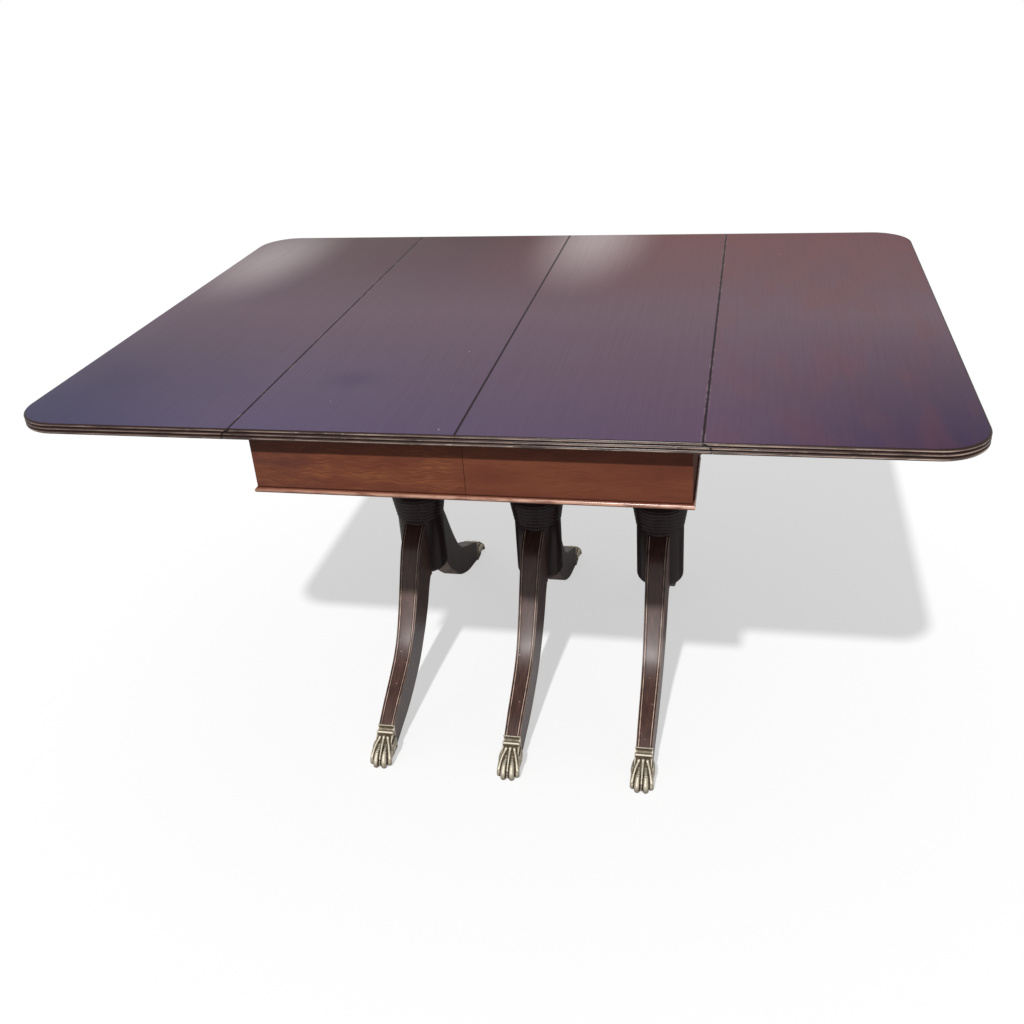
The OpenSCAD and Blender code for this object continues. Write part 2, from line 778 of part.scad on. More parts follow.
module stay(side, end) {
    slot_from = stay_near - slot_spare;
    slot_to = stay_far + slot_spare;
    color(steel) on_side(side)
        translate([half_len + ear_x, end * stay_y, pin_z - stay_ear_drop])
            rotate([90, 180 - stay_angle, 0]) difference() {
                stadium(0, slot_to, stay_w / 2, stay_t);
                stadium(slot_from, slot_to, stay_pin_r + slot_play, stay_t + 2);
                cylinder(r = stay_pin_r + turn_gap, h = stay_t + 2, center = true);
            }
}

module stadium(from, to, r, h) {
    translate([from, -r, -h / 2]) cube([to - from, 2 * r, h]);
    for (x = [from, to]) translate([x, 0, 0]) cylinder(r = r, h = h, center = true);
}

// Brackets on the inside of the end apron, each with a fixed pin through the slot of a stay
module at_brackets() {
    for (y = [-stay_y, stay_y]) translate([box_x, y, pin_z - pin_drop]) children();
}

module bracket_screws() {
    for (way = [-1, 1], z = [0, 1])
        translate([-bracket_t, way * (notch_w / 2 + bracket_w - 6), 8 + z * 18])
            rotate([0, 90, 0]) children();
}

module bracket_screw_holes() {
    bracket_screws() screw_hole(screw_r, bracket_screw_len);
}

module stay_brackets(side) {
    pin_x = half_len - stay_pin_in - box_x;
    bracket_low = -stay_w / 2 - 2;
    pin_len = notch_w + 2 * bracket_t;
    color(steel) on_side(side) at_brackets() {
        for (way = [0, 1]) mirror([0, way, 0]) difference() {
            union() {
                translate([-bracket_t, notch_w / 2, bracket_low]) cube([bracket_t, bracket_w, bracket_h]);
                translate([pin_x, notch_w / 2, bracket_low])
                    cube([-pin_x, bracket_t, stay_w + 4]);
                translate([pin_x, notch_w / 2 + bracket_t, 0]) rotate([90, 0, 0])
                    cylinder(r = -bracket_low, h = bracket_t);
            }
            translate([pin_x, 0, 0]) rotate([90, 0, 0])
                cylinder(r = stay_pin_r + fit_gap, h = 3 * notch_w, center = true);
            bracket_screw_holes();
        }
        translate([pin_x, 0, 0]) rotate([90, 0, 0]) {
            cylinder(r = stay_pin_r, h = pin_len, center = true);
            for (way = [0, 1]) mirror([0, 0, way])
                translate([0, 0, pin_len / 2]) cylinder(r = stay_pin_r + 1, h = 1);
        }
    }
}

// Locks under the meeting edge: a lever on the left half swings its curved rib past a stud on the right
module at_locks() {
    for (end = [-1, 1]) on_end(end) translate([0, -lock_y, 0]) children();
}

module at_lock_screws(side) {
    x = side < 0 ? lock_back + 20 : keeper_in + 20;
    at_locks() for (y = [-12, 12])
        translate([x, y, under_z - lock_plate_t]) children();
}

module lock_cases() {
    color(brass) mirror([1, 0, 0]) difference() {
        at_locks() {
            translate([2, -lock_plate_len / 2, under_z - lock_plate_t])
                cube([lock_plate_len, lock_plate_len, lock_plate_t]);
            translate([lock_back, 0, lock_stud_low])
                cylinder(r = lock_pivot_r, h = under_z - lock_plate_t - lock_stud_low + 1);
            translate([lock_back, 0, lock_lever_top])
                cylinder(r = lock_head_r, h = lock_space + 1);
            translate([lock_back, 0, lock_stud_low - lock_head_h])
                cylinder(r = lock_head_r, h = lock_head_h);
        }
        at_lock_screws(-1) screw_hole(screw_r, lock_screw_len);
    }
}

module lock_keepers() {
    color(brass) difference() {
        at_locks() {
            translate([2, -lock_plate_len / 3, under_z - lock_plate_t])
                cube([lock_plate_len * 0.75, lock_plate_len * 2 / 3, lock_plate_t]);
            translate([keeper_in, 0, lock_stud_low])
                cylinder(r = keeper_r, h = under_z - lock_plate_t - lock_stud_low + 1);
        }
        at_lock_screws(1) screw_hole(screw_r, lock_screw_len);
    }
}

module lock_lever(end) {
    rib_from = -150;
    rib_span = 80;
    color(steel) on_end(end) translate([-lock_back, -lock_y, lock_lever_top - lock_lever_t + 0.5])
        linear_extrude(lock_lever_t - 1) difference() {
            union() {
                circle(lock_hub_r);
                rotate(rib_from) translate([0, -4]) square([lock_rib_r + 1, 8]);
                rotate(90) translate([0, -4]) square([lock_handle, 8]);
                rotate(90) translate([lock_handle, 0]) circle(4);
                difference() {
                    circle(lock_rib_r + lock_rib_w);
                    circle(lock_rib_r);
                    rotate(rib_from + rib_span) square(2 * lock_rib_r);
                    rotate(rib_from + rib_span + 90) square(2 * lock_rib_r);
                    rotate(rib_from + 180) square(2 * lock_rib_r);
                    rotate(rib_from + 270) square(2 * lock_rib_r);
                }
            }
            circle(lock_pivot_r + turn_gap);
        }
}

module at_dowels() {
    for (y = dowel_places) translate([edge_x, y, dowel_z]) children();
}

module table_pins() {
    color(beech) for (y = dowel_places)
        translate([-edge_x - dowel_in, y, dowel_z]) rotate([0, 90, 0])
            cylinder(r = dowel_r, h = dowel_in + dowel_out);
}

// Screws, bolts and the pinion stud
module half_fasteners(side) {
    color(steel) {
        turned_to(side) {
            at_board_screws() cylinder(r = bolt_r, h = rail_cover + board_bite);
            at_board_screws() translate([0, 0, -bolt_r]) cylinder(r = 2 * bolt_r, h = bolt_r);
            at_rail_screws(-column_pitch, -rail_step) screw(bolt_r, rail_screw_len);
            at_rack_screws() screw(bolt_r, rack_screw_len);
        }
        on_side(side) {
            at_hinges() at_plate_screws(-plate_screw_in) screw(screw_r, top_t * 0.6);
            at_brackets() bracket_screws() screw(screw_r, bracket_screw_len);
            at_lock_screws(side) screw(screw_r, lock_screw_len);
        }
    }
}

module centre_fasteners() {
    color(steel) {
        at_rail_screws(0, 0) screw(bolt_r, rail_screw_len);
        translate([0, 0, bolster_top - stud_deep])
            cylinder(r = stud_r, h = stud_deep + lift_gap + gear_w + 1);
        translate([0, 0, rail_z + gear_w + lift_gap]) cylinder(r = stud_head_r, h = stud_head_h);
    }
}

module leaf_screws(side) {
    color(steel) on_side(side) {
        at_hinges() at_plate_screws(plate_screw_out) screw(screw_r, top_t * 0.6);
        at_ears() ear_screws() translate([0, 0, -ear_plate_t])
            screw(screw_r, ear_plate_t + ear_screw_bite);
    }
}

top(-1);  // left_top
long_apron(-1, -1);  // left_front_apron
long_apron(-1, 1);  // left_rear_apron
end_apron(-1);  // left_end_apron
apron_bead(-1);  // left_apron_bead
corner_blocks(-1);  // left_corner_blocks
half_bolster(-1);  // left_bolster
column(-1);  // left_column
leg(-1, -1);  // left_front_leg
leg(-1, 1);  // left_rear_leg
paw(-1, -1);  // left_front_paw
paw(-1, 1);  // left_rear_paw
slide_rails(-1);  // left_slide_rails
rack(-1);  // left_rack
hinge_plates(-1);  // left_hinge_plates
stay_brackets(-1);  // left_stay_brackets
half_fasteners(-1);  // left_fasteners
lock_cases();
table_pins();
top(1);  // right_top
long_apron(1, -1);  // right_front_apron
long_apron(1, 1);  // right_rear_apron
end_apron(1);  // right_end_apron
apron_bead(1);  // right_apron_bead
corner_blocks(1);  // right_corner_blocks
half_bolster(1);  // right_bolster
column(1);  // right_column
leg(1, -1);  // right_front_leg
leg(1, 1);  // right_rear_leg
paw(1, -1);  // right_front_paw
paw(1, 1);  // right_rear_paw
slide_rails(1);  // right_slide_rails
rack(1);  // right_rack
hinge_plates(1);  // right_hinge_plates
stay_brackets(1);  // right_stay_brackets
half_fasteners(1);  // right_fasteners
lock_keepers();
column(0);  // centre_column
leg(0, -1);  // centre_front_leg
leg(0, 1);  // centre_rear_leg
paw(0, -1);  // centre_front_paw
paw(0, 1);  // centre_rear_paw
centre_bolster();
centre_slide_rails();
centre_fasteners();
equalizer_pinion();
leaf(-1);  // left_leaf
leaf_hinge_plates(-1);  // left_leaf_hinge_plates
leaf_stay_ears(-1);  // left_leaf_stay_ears
leaf_screws(-1);  // left_leaf_screws
leaf(1);  // right_leaf
leaf_hinge_plates(1);  // right_leaf_hinge_plates
leaf_stay_ears(1);  // right_leaf_stay_ears
leaf_screws(1);  // right_leaf_screws
stay(-1, -1);  // left_front_stay
stay(-1, 1);  // left_rear_stay
stay(1, -1);  // right_front_stay
stay(1, 1);  // right_rear_stay
lock_lever(-1);  // front_lock_lever
lock_lever(1);  // rear_lock_lever
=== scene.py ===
# Looks of a drop-leaf dining table on three pedestals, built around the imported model. The right half
# and right leaf are modelled and mirrored to the left; one leg, paw and column are copied to the rest.
import math

import bmesh
import bpy
from mathutils import Matrix, Vector


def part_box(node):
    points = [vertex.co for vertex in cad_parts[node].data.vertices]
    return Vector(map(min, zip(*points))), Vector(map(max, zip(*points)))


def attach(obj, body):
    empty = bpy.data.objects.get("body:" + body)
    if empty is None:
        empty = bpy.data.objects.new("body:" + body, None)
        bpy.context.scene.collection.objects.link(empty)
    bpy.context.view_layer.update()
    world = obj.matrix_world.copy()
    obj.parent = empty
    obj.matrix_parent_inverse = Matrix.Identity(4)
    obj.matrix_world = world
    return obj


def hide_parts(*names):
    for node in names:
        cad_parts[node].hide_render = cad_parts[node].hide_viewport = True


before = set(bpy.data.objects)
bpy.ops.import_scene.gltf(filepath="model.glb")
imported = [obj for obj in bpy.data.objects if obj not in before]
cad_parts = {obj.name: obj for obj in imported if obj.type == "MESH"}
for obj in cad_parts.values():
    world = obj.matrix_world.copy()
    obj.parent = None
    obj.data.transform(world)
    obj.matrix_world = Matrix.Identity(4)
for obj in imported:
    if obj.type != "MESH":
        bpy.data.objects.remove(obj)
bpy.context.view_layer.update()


# Camera. It stands in front of the table, a little right of its middle, and looks down on the top.
# Its place and turn, in degrees, were fitted to the corners, seams and feet of the table.
mm = 0.001
view_place = Vector((388.4, -1826.5, 1368.2)) * mm
view_heading = 13.55
view_down = 28.83
view_roll = 4.12
view_focal_px = 1073.05
frame_px = 1024
sensor_w = 36

bpy.ops.object.camera_add()
camera = bpy.context.object
camera.matrix_world = (Matrix.Translation(view_place)
                       @ Matrix.Rotation(math.radians(view_heading), 4, "Z")
                       @ Matrix.Rotation(-math.radians(view_down), 4, "X")
                       @ Matrix.Rotation(math.radians(view_roll), 4, "Y")
                       @ Matrix.Rotation(math.radians(90), 4, "X"))
camera.data.sensor_width = sensor_w
camera.data.lens = sensor_w * view_focal_px / frame_px
bpy.context.scene.camera = camera


# Studio. A white sweep all round, the sun high in front and a little to the left, and a floor that takes
# the shadow. It lights the table like grey paving. Gloss and glass see it white, and so do cameras, which
# see the shadow a little lighter. The lamp's height, heading and spread are in degrees.
lamp_height = 48.5
lamp_heading = -8
lamp_spread = 2
lamp_strength = 3.1
sky_strength = 0.33
floor_side = 14
paving_grey = (0.25, 0.25, 0.25, 1)
floor_white = (0.97, 0.97, 0.97, 1)
pure_white = (1, 1, 1, 1)
white_glow = 0.55


def fill(tree, socket, source):
    """Links a socket to the output that feeds it, or sets its value. A node feeds it by its first output."""
    if isinstance(source, bpy.types.Node):
        source = next(output for output in source.outputs if output.enabled)
    if isinstance(source, bpy.types.NodeSocket):
        tree.links.new(source, socket)
    else:
        socket.default_value = source


def add(tree, kind, inputs=(), **settings):
    """Adds a shader node. Inputs fill its sockets in their order, or by name if they are a dict."""
    made = tree.nodes.new("ShaderNode" + kind)
    for name, value in settings.items():
        setattr(made, name, value)
    if isinstance(inputs, dict):
        pairs = [(made.inputs[name], source) for name, source in inputs.items()]
    else:
        pairs = zip([socket for socket in made.inputs if socket.enabled], inputs)
    for socket, source in pairs:
        fill(tree, socket, source)
    return made


world = bpy.data.worlds.new("white_sweep")
bpy.context.scene.world = world
world.use_nodes = True
tree = world.node_tree
tree.nodes.clear()
rays = add(tree, "LightPath").outputs
seen = add(tree, "Math", [rays["Is Camera Ray"], rays["Is Glossy Ray"]], operation="ADD", use_clamp=True)
seen = add(tree, "Math", [seen, rays["Is Transmission Ray"]], operation="ADD", use_clamp=True)
sky = add(tree, "Background", [pure_white, sky_strength])
sweep = add(tree, "Background", [pure_white, 1])
either = add(tree, "MixShader", [seen, sky, sweep])
add(tree, "OutputWorld", {"Surface": either})

bpy.ops.object.light_add(type="SUN")
lamp = bpy.context.object
lamp.rotation_euler = (math.radians(90 - lamp_height), 0, math.radians(lamp_heading))
lamp.data.energy = lamp_strength
lamp.data.angle = math.radians(lamp_spread)

floor_finish = bpy.data.materials.new("white_floor")
floor_finish.use_nodes = True
tree = floor_finish.node_tree
tree.nodes.clear()
rays = add(tree, "LightPath").outputs
seen = add(tree, "Math", [rays["Is Glossy Ray"], rays["Is Transmission Ray"]], operation="ADD",
           use_clamp=True)
paving = add(tree, "BsdfDiffuse", [paving_grey])
white = add(tree, "BsdfDiffuse", [floor_white])
glow = add(tree, "Emission", [pure_white, 1])
lifted = add(tree, "MixShader", [white_glow, white, glow])
either = add(tree, "MixShader", [seen, paving, white])
either = add(tree, "MixShader", [rays["Is Camera Ray"], either, lifted])
add(tree, "OutputMaterial", {"Surface": either})
bpy.ops.mesh.primitive_plane_add(size=floor_side, location=(0, 0, 0))
floor = bpy.context.object
floor.name = "floor"
floor.data.materials.append(floor_finish)

bpy.context.scene.view_settings.view_transform = "Standard"


# Halves of the top. Mahogany boards, 18 mm thick, with three reeds run along the outer edge. The end at
# the hinge line is worked to the quarter round of a rule joint and let in for the hinges.
half_low, half_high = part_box("right_top")
leaf_low, leaf_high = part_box("right_leaf")
top_z = half_high.z
under_z = half_low.z
half_depth = half_high.y
seam_x = half_low.x
hinge_x = 340 * mm
leaf_end_x = leaf_high.x
reed_r = 3.15 * mm
reed_count = 3
reed_pitch = (top_z - under_z - 2 * reed_r) / (reed_count - 1)
reed_steps = 8
pin_z = under_z + 2.5 * mm
rule_r = 12.5 * mm
rule_gap = 0.5 * mm
rule_steps = 16
arris = 0.8 * mm
arris_steps = 2
hinge_places = [-430 * mm, 0, 430 * mm]
hinge_w = 40.8 * mm
hinge_plate_in = 28 * mm
hinge_plate_out = 42 * mm
knuckle_space_r = 3.4 * mm
knuckle_space_end = 7
swing_space = 0.4 * mm
dowel_places = [-470 * mm, -250 * mm, 250 * mm, 470 * mm]
dowel_hole_r = 4.2 * mm
dowel_hole_depth = 15 * mm
dowel_sides = 32
flat_enough = 0.995
clear = 5 * mm
hair = 0.01 * mm
doubles = 0.002 * mm
smooth_angle = 30


def finish(name):
    """Starts a material and gives it with its node tree, its shader and the object's own coordinates."""
    material = bpy.data.materials.new(name)
    material.use_nodes = True
    tree = material.node_tree
    return material, tree, tree.nodes["Principled BSDF"], add(tree, "TexCoord").outputs["Object"]


def linear(hex_colour):
    """Turns an sRGB hex colour to the linear one that a shader takes."""
    shares = [int(hex_colour[i:i + 2], 16) / 255 for i in (1, 3, 5)]
    return [s / 12.92 if s <= 0.04045 else ((s + 0.055) / 1.055) ** 2.4 for s in shares] + [1]


def per(size):
    """Scale of a pattern that has marks of a size along the three axes."""
    return [1 / one for one in size]


def dress(tree, shader, colour, rough=None, height=None, lift=0.1 * mm, share=0.2):
    """Gives a shader its colour, and a roughness and a relief where there are any."""
    fill(tree, shader.inputs["Base Color"], colour)
    if rough:
        fill(tree, shader.inputs["Roughness"], rough)
    if height:
        dent = add(tree, "Bump", {"Height": height, "Strength": share, "Distance": lift})
        fill(tree, shader.inputs["Normal"], dent)


def varnish(shader, rough, coat, coat_rough):
    """Lets only the thin coat of polish shine."""
    shader.inputs["Roughness"].default_value = rough
    shader.inputs["Specular IOR Level"].default_value = 0
    shader.inputs["Coat Weight"].default_value = coat
    shader.inputs["Coat Roughness"].default_value = coat_rough


# French polished mahogany, old: a thin gloss over a ground whose violet tones along the front and
# brown-red tones along the rear are partly the wood's colour and partly painted reflections of sky and
# trees. Two pale patches are painted glare, one spot is darker, the joints hold dirt, and there is a faint
# grain with a few pale nicks. A ground is made of shares of the length and tones, and a stain of its place,
# its reach, its strength and its tone. A band is the two ends of a pattern or distance, and the strength at
# each.
front_wood_and_reflection = [(0, "#393b57"), (0.25, "#594f68"), (0.75, "#5a465c"), (1, "#342745")]
middle_wood_and_reflection = [(0, "#65545f"), (1, "#69535d")]
rear_wood_and_reflection = [(0, "#5c4a4b"), (0.35, "#4a2d33"), (0.65, "#6a3e3f"), (1, "#63393f")]
painted_glare = linear("#cfc4c4")
dark_spot = linear("#3a3350")
stains_and_glare = [((60 * mm, 520 * mm), (160 * mm, 470 * mm), 0.5, painted_glare),
          ((-640 * mm, 360 * mm), (170 * mm, 380 * mm), 0.42, painted_glare),
          ((-215 * mm, -330 * mm), (75 * mm, 60 * mm), 0.28, dark_spot)]
rosy_wood = linear("#7a4436")
grain_brown = linear("#2e1c22")
chip_grey = linear("#a58e90")
joint_black = linear("#1c1215")
nick_pale = linear("#c9bdbe")
cloud_size = 240 * mm
cloud_drift = 0.16
mottle_size = (40 * mm, 150 * mm, 40 * mm)
mottle_band = (0.42, 0.75, 0, 0.2)
grain_size = (3 * mm, 160 * mm, 3 * mm)
grain_band = (0.42, 0.75, 0, 0.1)
grain_lift = 0.03 * mm
chip_size = (12 * mm, 22 * mm, 12 * mm)
chip_band = (0.52, 0.66, 0, 0.55)
joint_wear_band = (1.8 * mm, 3.8 * mm, 1, 0)
joint_dirt_band = (1.3 * mm, 2.4 * mm, 0.9, 0)
nick_cell = (55 * mm, 110 * mm, 110 * mm)
nick_turn = 0.5
nick_reach = 0.013
nick_band = (nick_reach, 1.6 * nick_reach, 0.7, 0)
nick_luck_band = (0.62, 0.63, 0, 1)

polish_and_painted_reflection, tree, shader, place = finish("mahogany_french_polish")
axes = add(tree, "SeparateXYZ", [place]).outputs
cloud = add(tree, "TexNoise", [place, 1 / cloud_size, 3])
drift = add(tree, "Math", [cloud, cloud_drift, -cloud_drift / 2], operation="MULTIPLY_ADD")
lengthwise = add(tree, "MapRange", [axes["X"], -leaf_end_x, leaf_end_x, 0, 1])
lengthwise = add(tree, "Math", [lengthwise, drift], operation="ADD")
forward = add(tree, "MapRange", [axes["Y"], -half_depth, 0, 0, 1])
forward = add(tree, "Math", [forward, drift], operation="ADD", use_clamp=True)
rearward = add(tree, "MapRange", [axes["Y"], 0, half_depth, 0, 1])
rearward = add(tree, "Math", [rearward, drift], operation="ADD", use_clamp=True)
reflected_grounds = []
# These ramps of tones are partly the wood's colour and partly painted reflections of sky and trees.
for tones in (front_wood_and_reflection, middle_wood_and_reflection, rear_wood_and_reflection):
    reflected_ground = add(tree, "ValToRGB", [lengthwise])
    row = reflected_ground.color_ramp.elements
    row.remove(row[1])
    row[0].color = linear(tones[0][1])
    for share, tone in tones[1:]:
        row.new(share).color = linear(tone)
    reflected_grounds.append(reflected_ground)
colour = add(tree, "Mix", [forward, reflected_grounds[0], reflected_grounds[1]], data_type="RGBA")
colour = add(tree, "Mix", [rearward, colour, reflected_grounds[2]], data_type="RGBA")
# The two pale patches in this list are painted glare.
for spot, reach, share, tone in stains_and_glare:
    moved = add(tree, "VectorMath", [place, (*spot, top_z)], operation="SUBTRACT")
    squeezed = add(tree, "VectorMath", [moved, (1 / reach[0], 1 / reach[1], 1)], operation="MULTIPLY")
    far = add(tree, "VectorMath", [squeezed], operation="LENGTH")
    near = add(tree, "MapRange", [far, 0, 1, share, 0], interpolation_type="SMOOTHSTEP")
    colour = add(tree, "Mix", [near, colour, tone], data_type="RGBA")
on_right_leaf = add(tree, "Math", [axes["X"], hinge_x], operation="GREATER_THAN")
mottle = add(tree, "Mapping", {"Vector": place, "Scale": per(mottle_size)})
mottle = add(tree, "TexNoise", [mottle, 1, 1])
mottle = add(tree, "MapRange", [mottle, *mottle_band])
mottle = add(tree, "Math", [mottle, on_right_leaf], operation="MULTIPLY")
colour = add(tree, "Mix", [mottle, colour, rosy_wood], data_type="RGBA")
grain = add(tree, "Mapping", {"Vector": place, "Scale": per(grain_size)})
grain = add(tree, "TexNoise", [grain, 1, 4])
streaks = add(tree, "MapRange", [grain, *grain_band])
colour = add(tree, "Mix", [streaks, colour, grain_brown], data_type="RGBA")
off_middle = add(tree, "Math", [axes["X"]], operation="ABSOLUTE")
off_hinge = add(tree, "Math", [off_middle, hinge_x], operation="SUBTRACT")
off_hinge = add(tree, "Math", [off_hinge], operation="ABSOLUTE")
chips = add(tree, "Mapping", {"Vector": place, "Scale": per(chip_size)})
chips = add(tree, "TexNoise", [chips, 1, 4])
chips = add(tree, "MapRange", [chips, *chip_band])
worn_joint = add(tree, "MapRange", [off_hinge, *joint_wear_band])
chips = add(tree, "Math", [chips, worn_joint], operation="MULTIPLY")
colour = add(tree, "Mix", [chips, colour, chip_grey], data_type="RGBA")
off_joint = add(tree, "Math", [off_middle, off_hinge], operation="MINIMUM")
dirt = add(tree, "MapRange", [off_joint, *joint_dirt_band])
colour = add(tree, "Mix", [dirt, colour, joint_black], data_type="RGBA")
nicks = add(tree, "Mapping", {"Vector": place, "Rotation": (0, 0, nick_turn), "Scale": per(nick_cell)})
nicks = add(tree, "TexVoronoi", [nicks, 1]).outputs
lucky = add(tree, "MapRange", [nicks["Color"], *nick_luck_band])
nicks = add(tree, "MapRange", [nicks["Distance"], *nick_band])
nicks = add(tree, "Math", [nicks, lucky], operation="MULTIPLY")
colour = add(tree, "Mix", [nicks, colour, nick_pale], data_type="RGBA")
dress(tree, shader, colour, height=grain, lift=grain_lift)
varnish(shader, rough=0.5, coat=0.2, coat_rough=0.2)

# The reeds of the same wood: the hollows between them are darker, and the crests are rubbed to bare
# pinkish wood, chipped pale in places, with a painted highlight that grows towards the right end. The ends
# of the rule joint show as a dark line.
reed_hollow_dark = linear("#2c1b18")
bare_wood_and_glint = linear("#d6bbab")
fresh_wood = linear("#dccabc")
rule_black = linear("#100809")
crest_sharpness = 2.5
crest_band = (-0.3, 1, 0, 1)
rub_size = (45 * mm, 45 * mm, 3 * mm)
rub_band = (0.34, 0.66, 0.15, 1)
lit_handled_band = (-leaf_end_x, leaf_end_x, 0.36, 1)
reed_chip_size = (22 * mm, 22 * mm, 1.6 * mm)
reed_chip_band = (0.62, 0.68, 0, 0.85)
chip_crest_band = (0.1, 0.5, 0, 1)
rule_line_band = (0.8 * mm, 1.8 * mm, 0.9, 0)

rubbed, tree, shader, place = finish("mahogany_reeds_rubbed_and_lit")
axes = add(tree, "SeparateXYZ", [place]).outputs
crest = add(tree, "Math", [axes["Z"], (top_z + under_z) / 2], operation="SUBTRACT")
crest = add(tree, "Math", [crest, 2 * math.pi / reed_pitch], operation="MULTIPLY")
crest = add(tree, "Math", [crest], operation="COSINE")
crest = add(tree, "MapRange", [crest, *crest_band])
crest = add(tree, "Math", [crest, crest_sharpness], operation="POWER")
rubs = add(tree, "Mapping", {"Vector": place, "Scale": per(rub_size)})
rubs = add(tree, "TexNoise", [rubs, 1, 4])
rubs = add(tree, "MapRange", [rubs, *rub_band])
# Crests and chips grow paler towards the right: partly wear and partly painted highlight.
handled_and_lit = add(tree, "MapRange", [axes["X"], *lit_handled_band])
bare_and_glint = add(tree, "Math", [crest, rubs], operation="MULTIPLY")
bare_and_glint = add(tree, "Math", [bare_and_glint, handled_and_lit], operation="MULTIPLY")
colour = add(tree, "Mix", [bare_and_glint, reed_hollow_dark, bare_wood_and_glint], data_type="RGBA")
chips = add(tree, "Mapping", {"Vector": place, "Scale": per(reed_chip_size)})
chips = add(tree, "TexNoise", [chips, 1, 4])
chips = add(tree, "MapRange", [chips, *reed_chip_band])
on_crest = add(tree, "MapRange", [crest, *chip_crest_band])
chips = add(tree, "Math", [chips, on_crest], operation="MULTIPLY")
chips = add(tree, "Math", [chips, handled_and_lit], operation="MULTIPLY")
colour = add(tree, "Mix", [chips, colour, fresh_wood], data_type="RGBA")
from_hinge = add(tree, "Math", [axes["X"]], operation="ABSOLUTE")
from_hinge = add(tree, "Math", [from_hinge, hinge_x], operation="SUBTRACT")
from_pin = add(tree, "Math", [axes["Z"], pin_z], operation="SUBTRACT")
from_pin = add(tree, "Math", [from_pin, 0], operation="MAXIMUM")
squares = [add(tree, "Math", [off, 2], operation="POWER") for off in (from_hinge, from_pin)]
around = add(tree, "Math", squares, operation="ADD")
around = add(tree, "Math", [around], operation="SQRT")
on_round = add(tree, "Math", [around, rule_r], operation="SUBTRACT")
on_round = add(tree, "Math", [on_round], operation="ABSOLUTE")
on_round = add(tree, "MapRange", [on_round, *rule_line_band])
past_hinge = add(tree, "Math", [from_hinge, 0], operation="GREATER_THAN")
on_round = add(tree, "Math", [on_round, past_hinge], operation="MULTIPLY")
on_lip = add(tree, "Math", [from_hinge], operation="ABSOLUTE")
on_lip = add(tree, "MapRange", [on_lip, *rule_line_band])
above_round = add(tree, "Math", [from_pin, rule_r], operation="GREATER_THAN")
on_lip = add(tree, "Math", [on_lip, above_round], operation="MULTIPLY")
rule_line = add(tree, "Math", [on_round, on_lip], operation="MAXIMUM")
colour = add(tree, "Mix", [rule_line, colour, rule_black], data_type="RGBA")
dress(tree, shader, colour)
varnish(shader, rough=0.4, coat=0.35, coat_rough=0.22)


def trace(name, points, closed=True):
    """Starts a piece in edit mode: one vertex, extruded from point to point, and filled if closed."""
    bpy.ops.object.select_all(action="DESELECT")
    bpy.ops.mesh.primitive_plane_add(size=mm, location=points[0])
    piece = bpy.context.object
    piece.name = name
    bpy.ops.object.transform_apply()
    bpy.ops.object.mode_set(mode="EDIT")
    bpy.ops.mesh.select_mode(type="VERT")
    bpy.ops.mesh.select_all(action="SELECT")
    bpy.ops.mesh.merge(type="CENTER")
    for before, after in zip(points, points[1:]):
        step = Vector(after) - Vector(before)
        bpy.ops.mesh.extrude_vertices_move(TRANSFORM_OT_translate={"value": step})
    if closed:
        bpy.ops.mesh.select_all(action="SELECT")
        bpy.ops.mesh.edge_face_add()
    return piece


def pull(offset):
    """Extrudes what is selected by an offset."""
    bpy.ops.mesh.extrude_region_move(TRANSFORM_OT_translate={"value": Vector(offset)})


def pick(piece, kind, test):
    """In edit mode, selects the vertices, edges or faces of which every corner passes the test."""
    bpy.ops.mesh.select_mode(type=kind)
    bpy.ops.mesh.select_all(action="DESELECT")
    mesh = bmesh.from_edit_mesh(piece.data)
    for element in {"VERT": mesh.verts, "EDGE": mesh.edges, "FACE": mesh.faces}[kind]:
        corners = [element] if kind == "VERT" else element.verts
        element.select_set(all(test(corner.co) for corner in corners))
    mesh.select_flush_mode()
    bmesh.update_edit_mesh(piece.data)


def activate(piece):
    """Makes a piece the only one selected."""
    bpy.ops.object.select_all(action="DESELECT")
    piece.select_set(True)
    bpy.context.view_layer.objects.active = piece


def smooth(piece):
    """Smooths all but the sharp edges."""
    activate(piece)
    bpy.ops.object.shade_smooth_by_angle(angle=math.radians(smooth_angle))


def close(piece, *finishes):
    """Ends edit mode with doubles merged and normals outwards, and gives the piece its materials."""
    bpy.ops.mesh.select_all(action="SELECT")
    bpy.ops.mesh.remove_doubles(threshold=doubles)
    bpy.ops.mesh.normals_make_consistent(inside=False)
    bpy.ops.object.mode_set(mode="OBJECT")
    for material in finishes:
        piece.data.materials.append(material)
    smooth(piece)


def prism(points, offset):
    """A cutting tool: an outline pulled along an offset."""
    tool = trace("tool", points)
    pull(offset)
    close(tool)
    return tool


def cut(piece, tool):
    """Cuts the shape of a tool out of a piece and clears the tool away."""
    change = piece.modifiers.new("cut", "BOOLEAN")
    change.operation = "DIFFERENCE"
    change.solver = "EXACT"
    change.object = tool
    activate(piece)
    bpy.ops.object.modifier_apply(modifier=change.name)
    bpy.data.objects.remove(tool)


def copied(piece, name, place):
    """Copies a finished piece with its own mesh and sets the copy where the matrix says."""
    activate(piece)
    bpy.ops.object.duplicate(linked=False)
    made = bpy.context.object
    made.name = name
    made.matrix_world = place
    bpy.ops.object.transform_apply()
    bpy.ops.object.mode_set(mode="EDIT")
    bpy.ops.mesh.select_all(action="SELECT")
    bpy.ops.mesh.normals_make_consistent(inside=False)
    bpy.ops.object.mode_set(mode="OBJECT")
    return made


def hand_out(piece, body, slot, *nodes):
    """Gives a finished piece its body and hides the nodes that it stands for. The slot is not used."""
    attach(piece, body)
    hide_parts(*nodes)


def arc(centre, radius, start, end, steps):
    """Points (across, height) on an arc, angles in degrees, from start to end."""
    angles = [math.radians(start + (end - start) * i / steps) for i in range(steps + 1)]
    return [(centre[0] + radius * math.cos(a), centre[1] + radius * math.sin(a)) for a in angles]


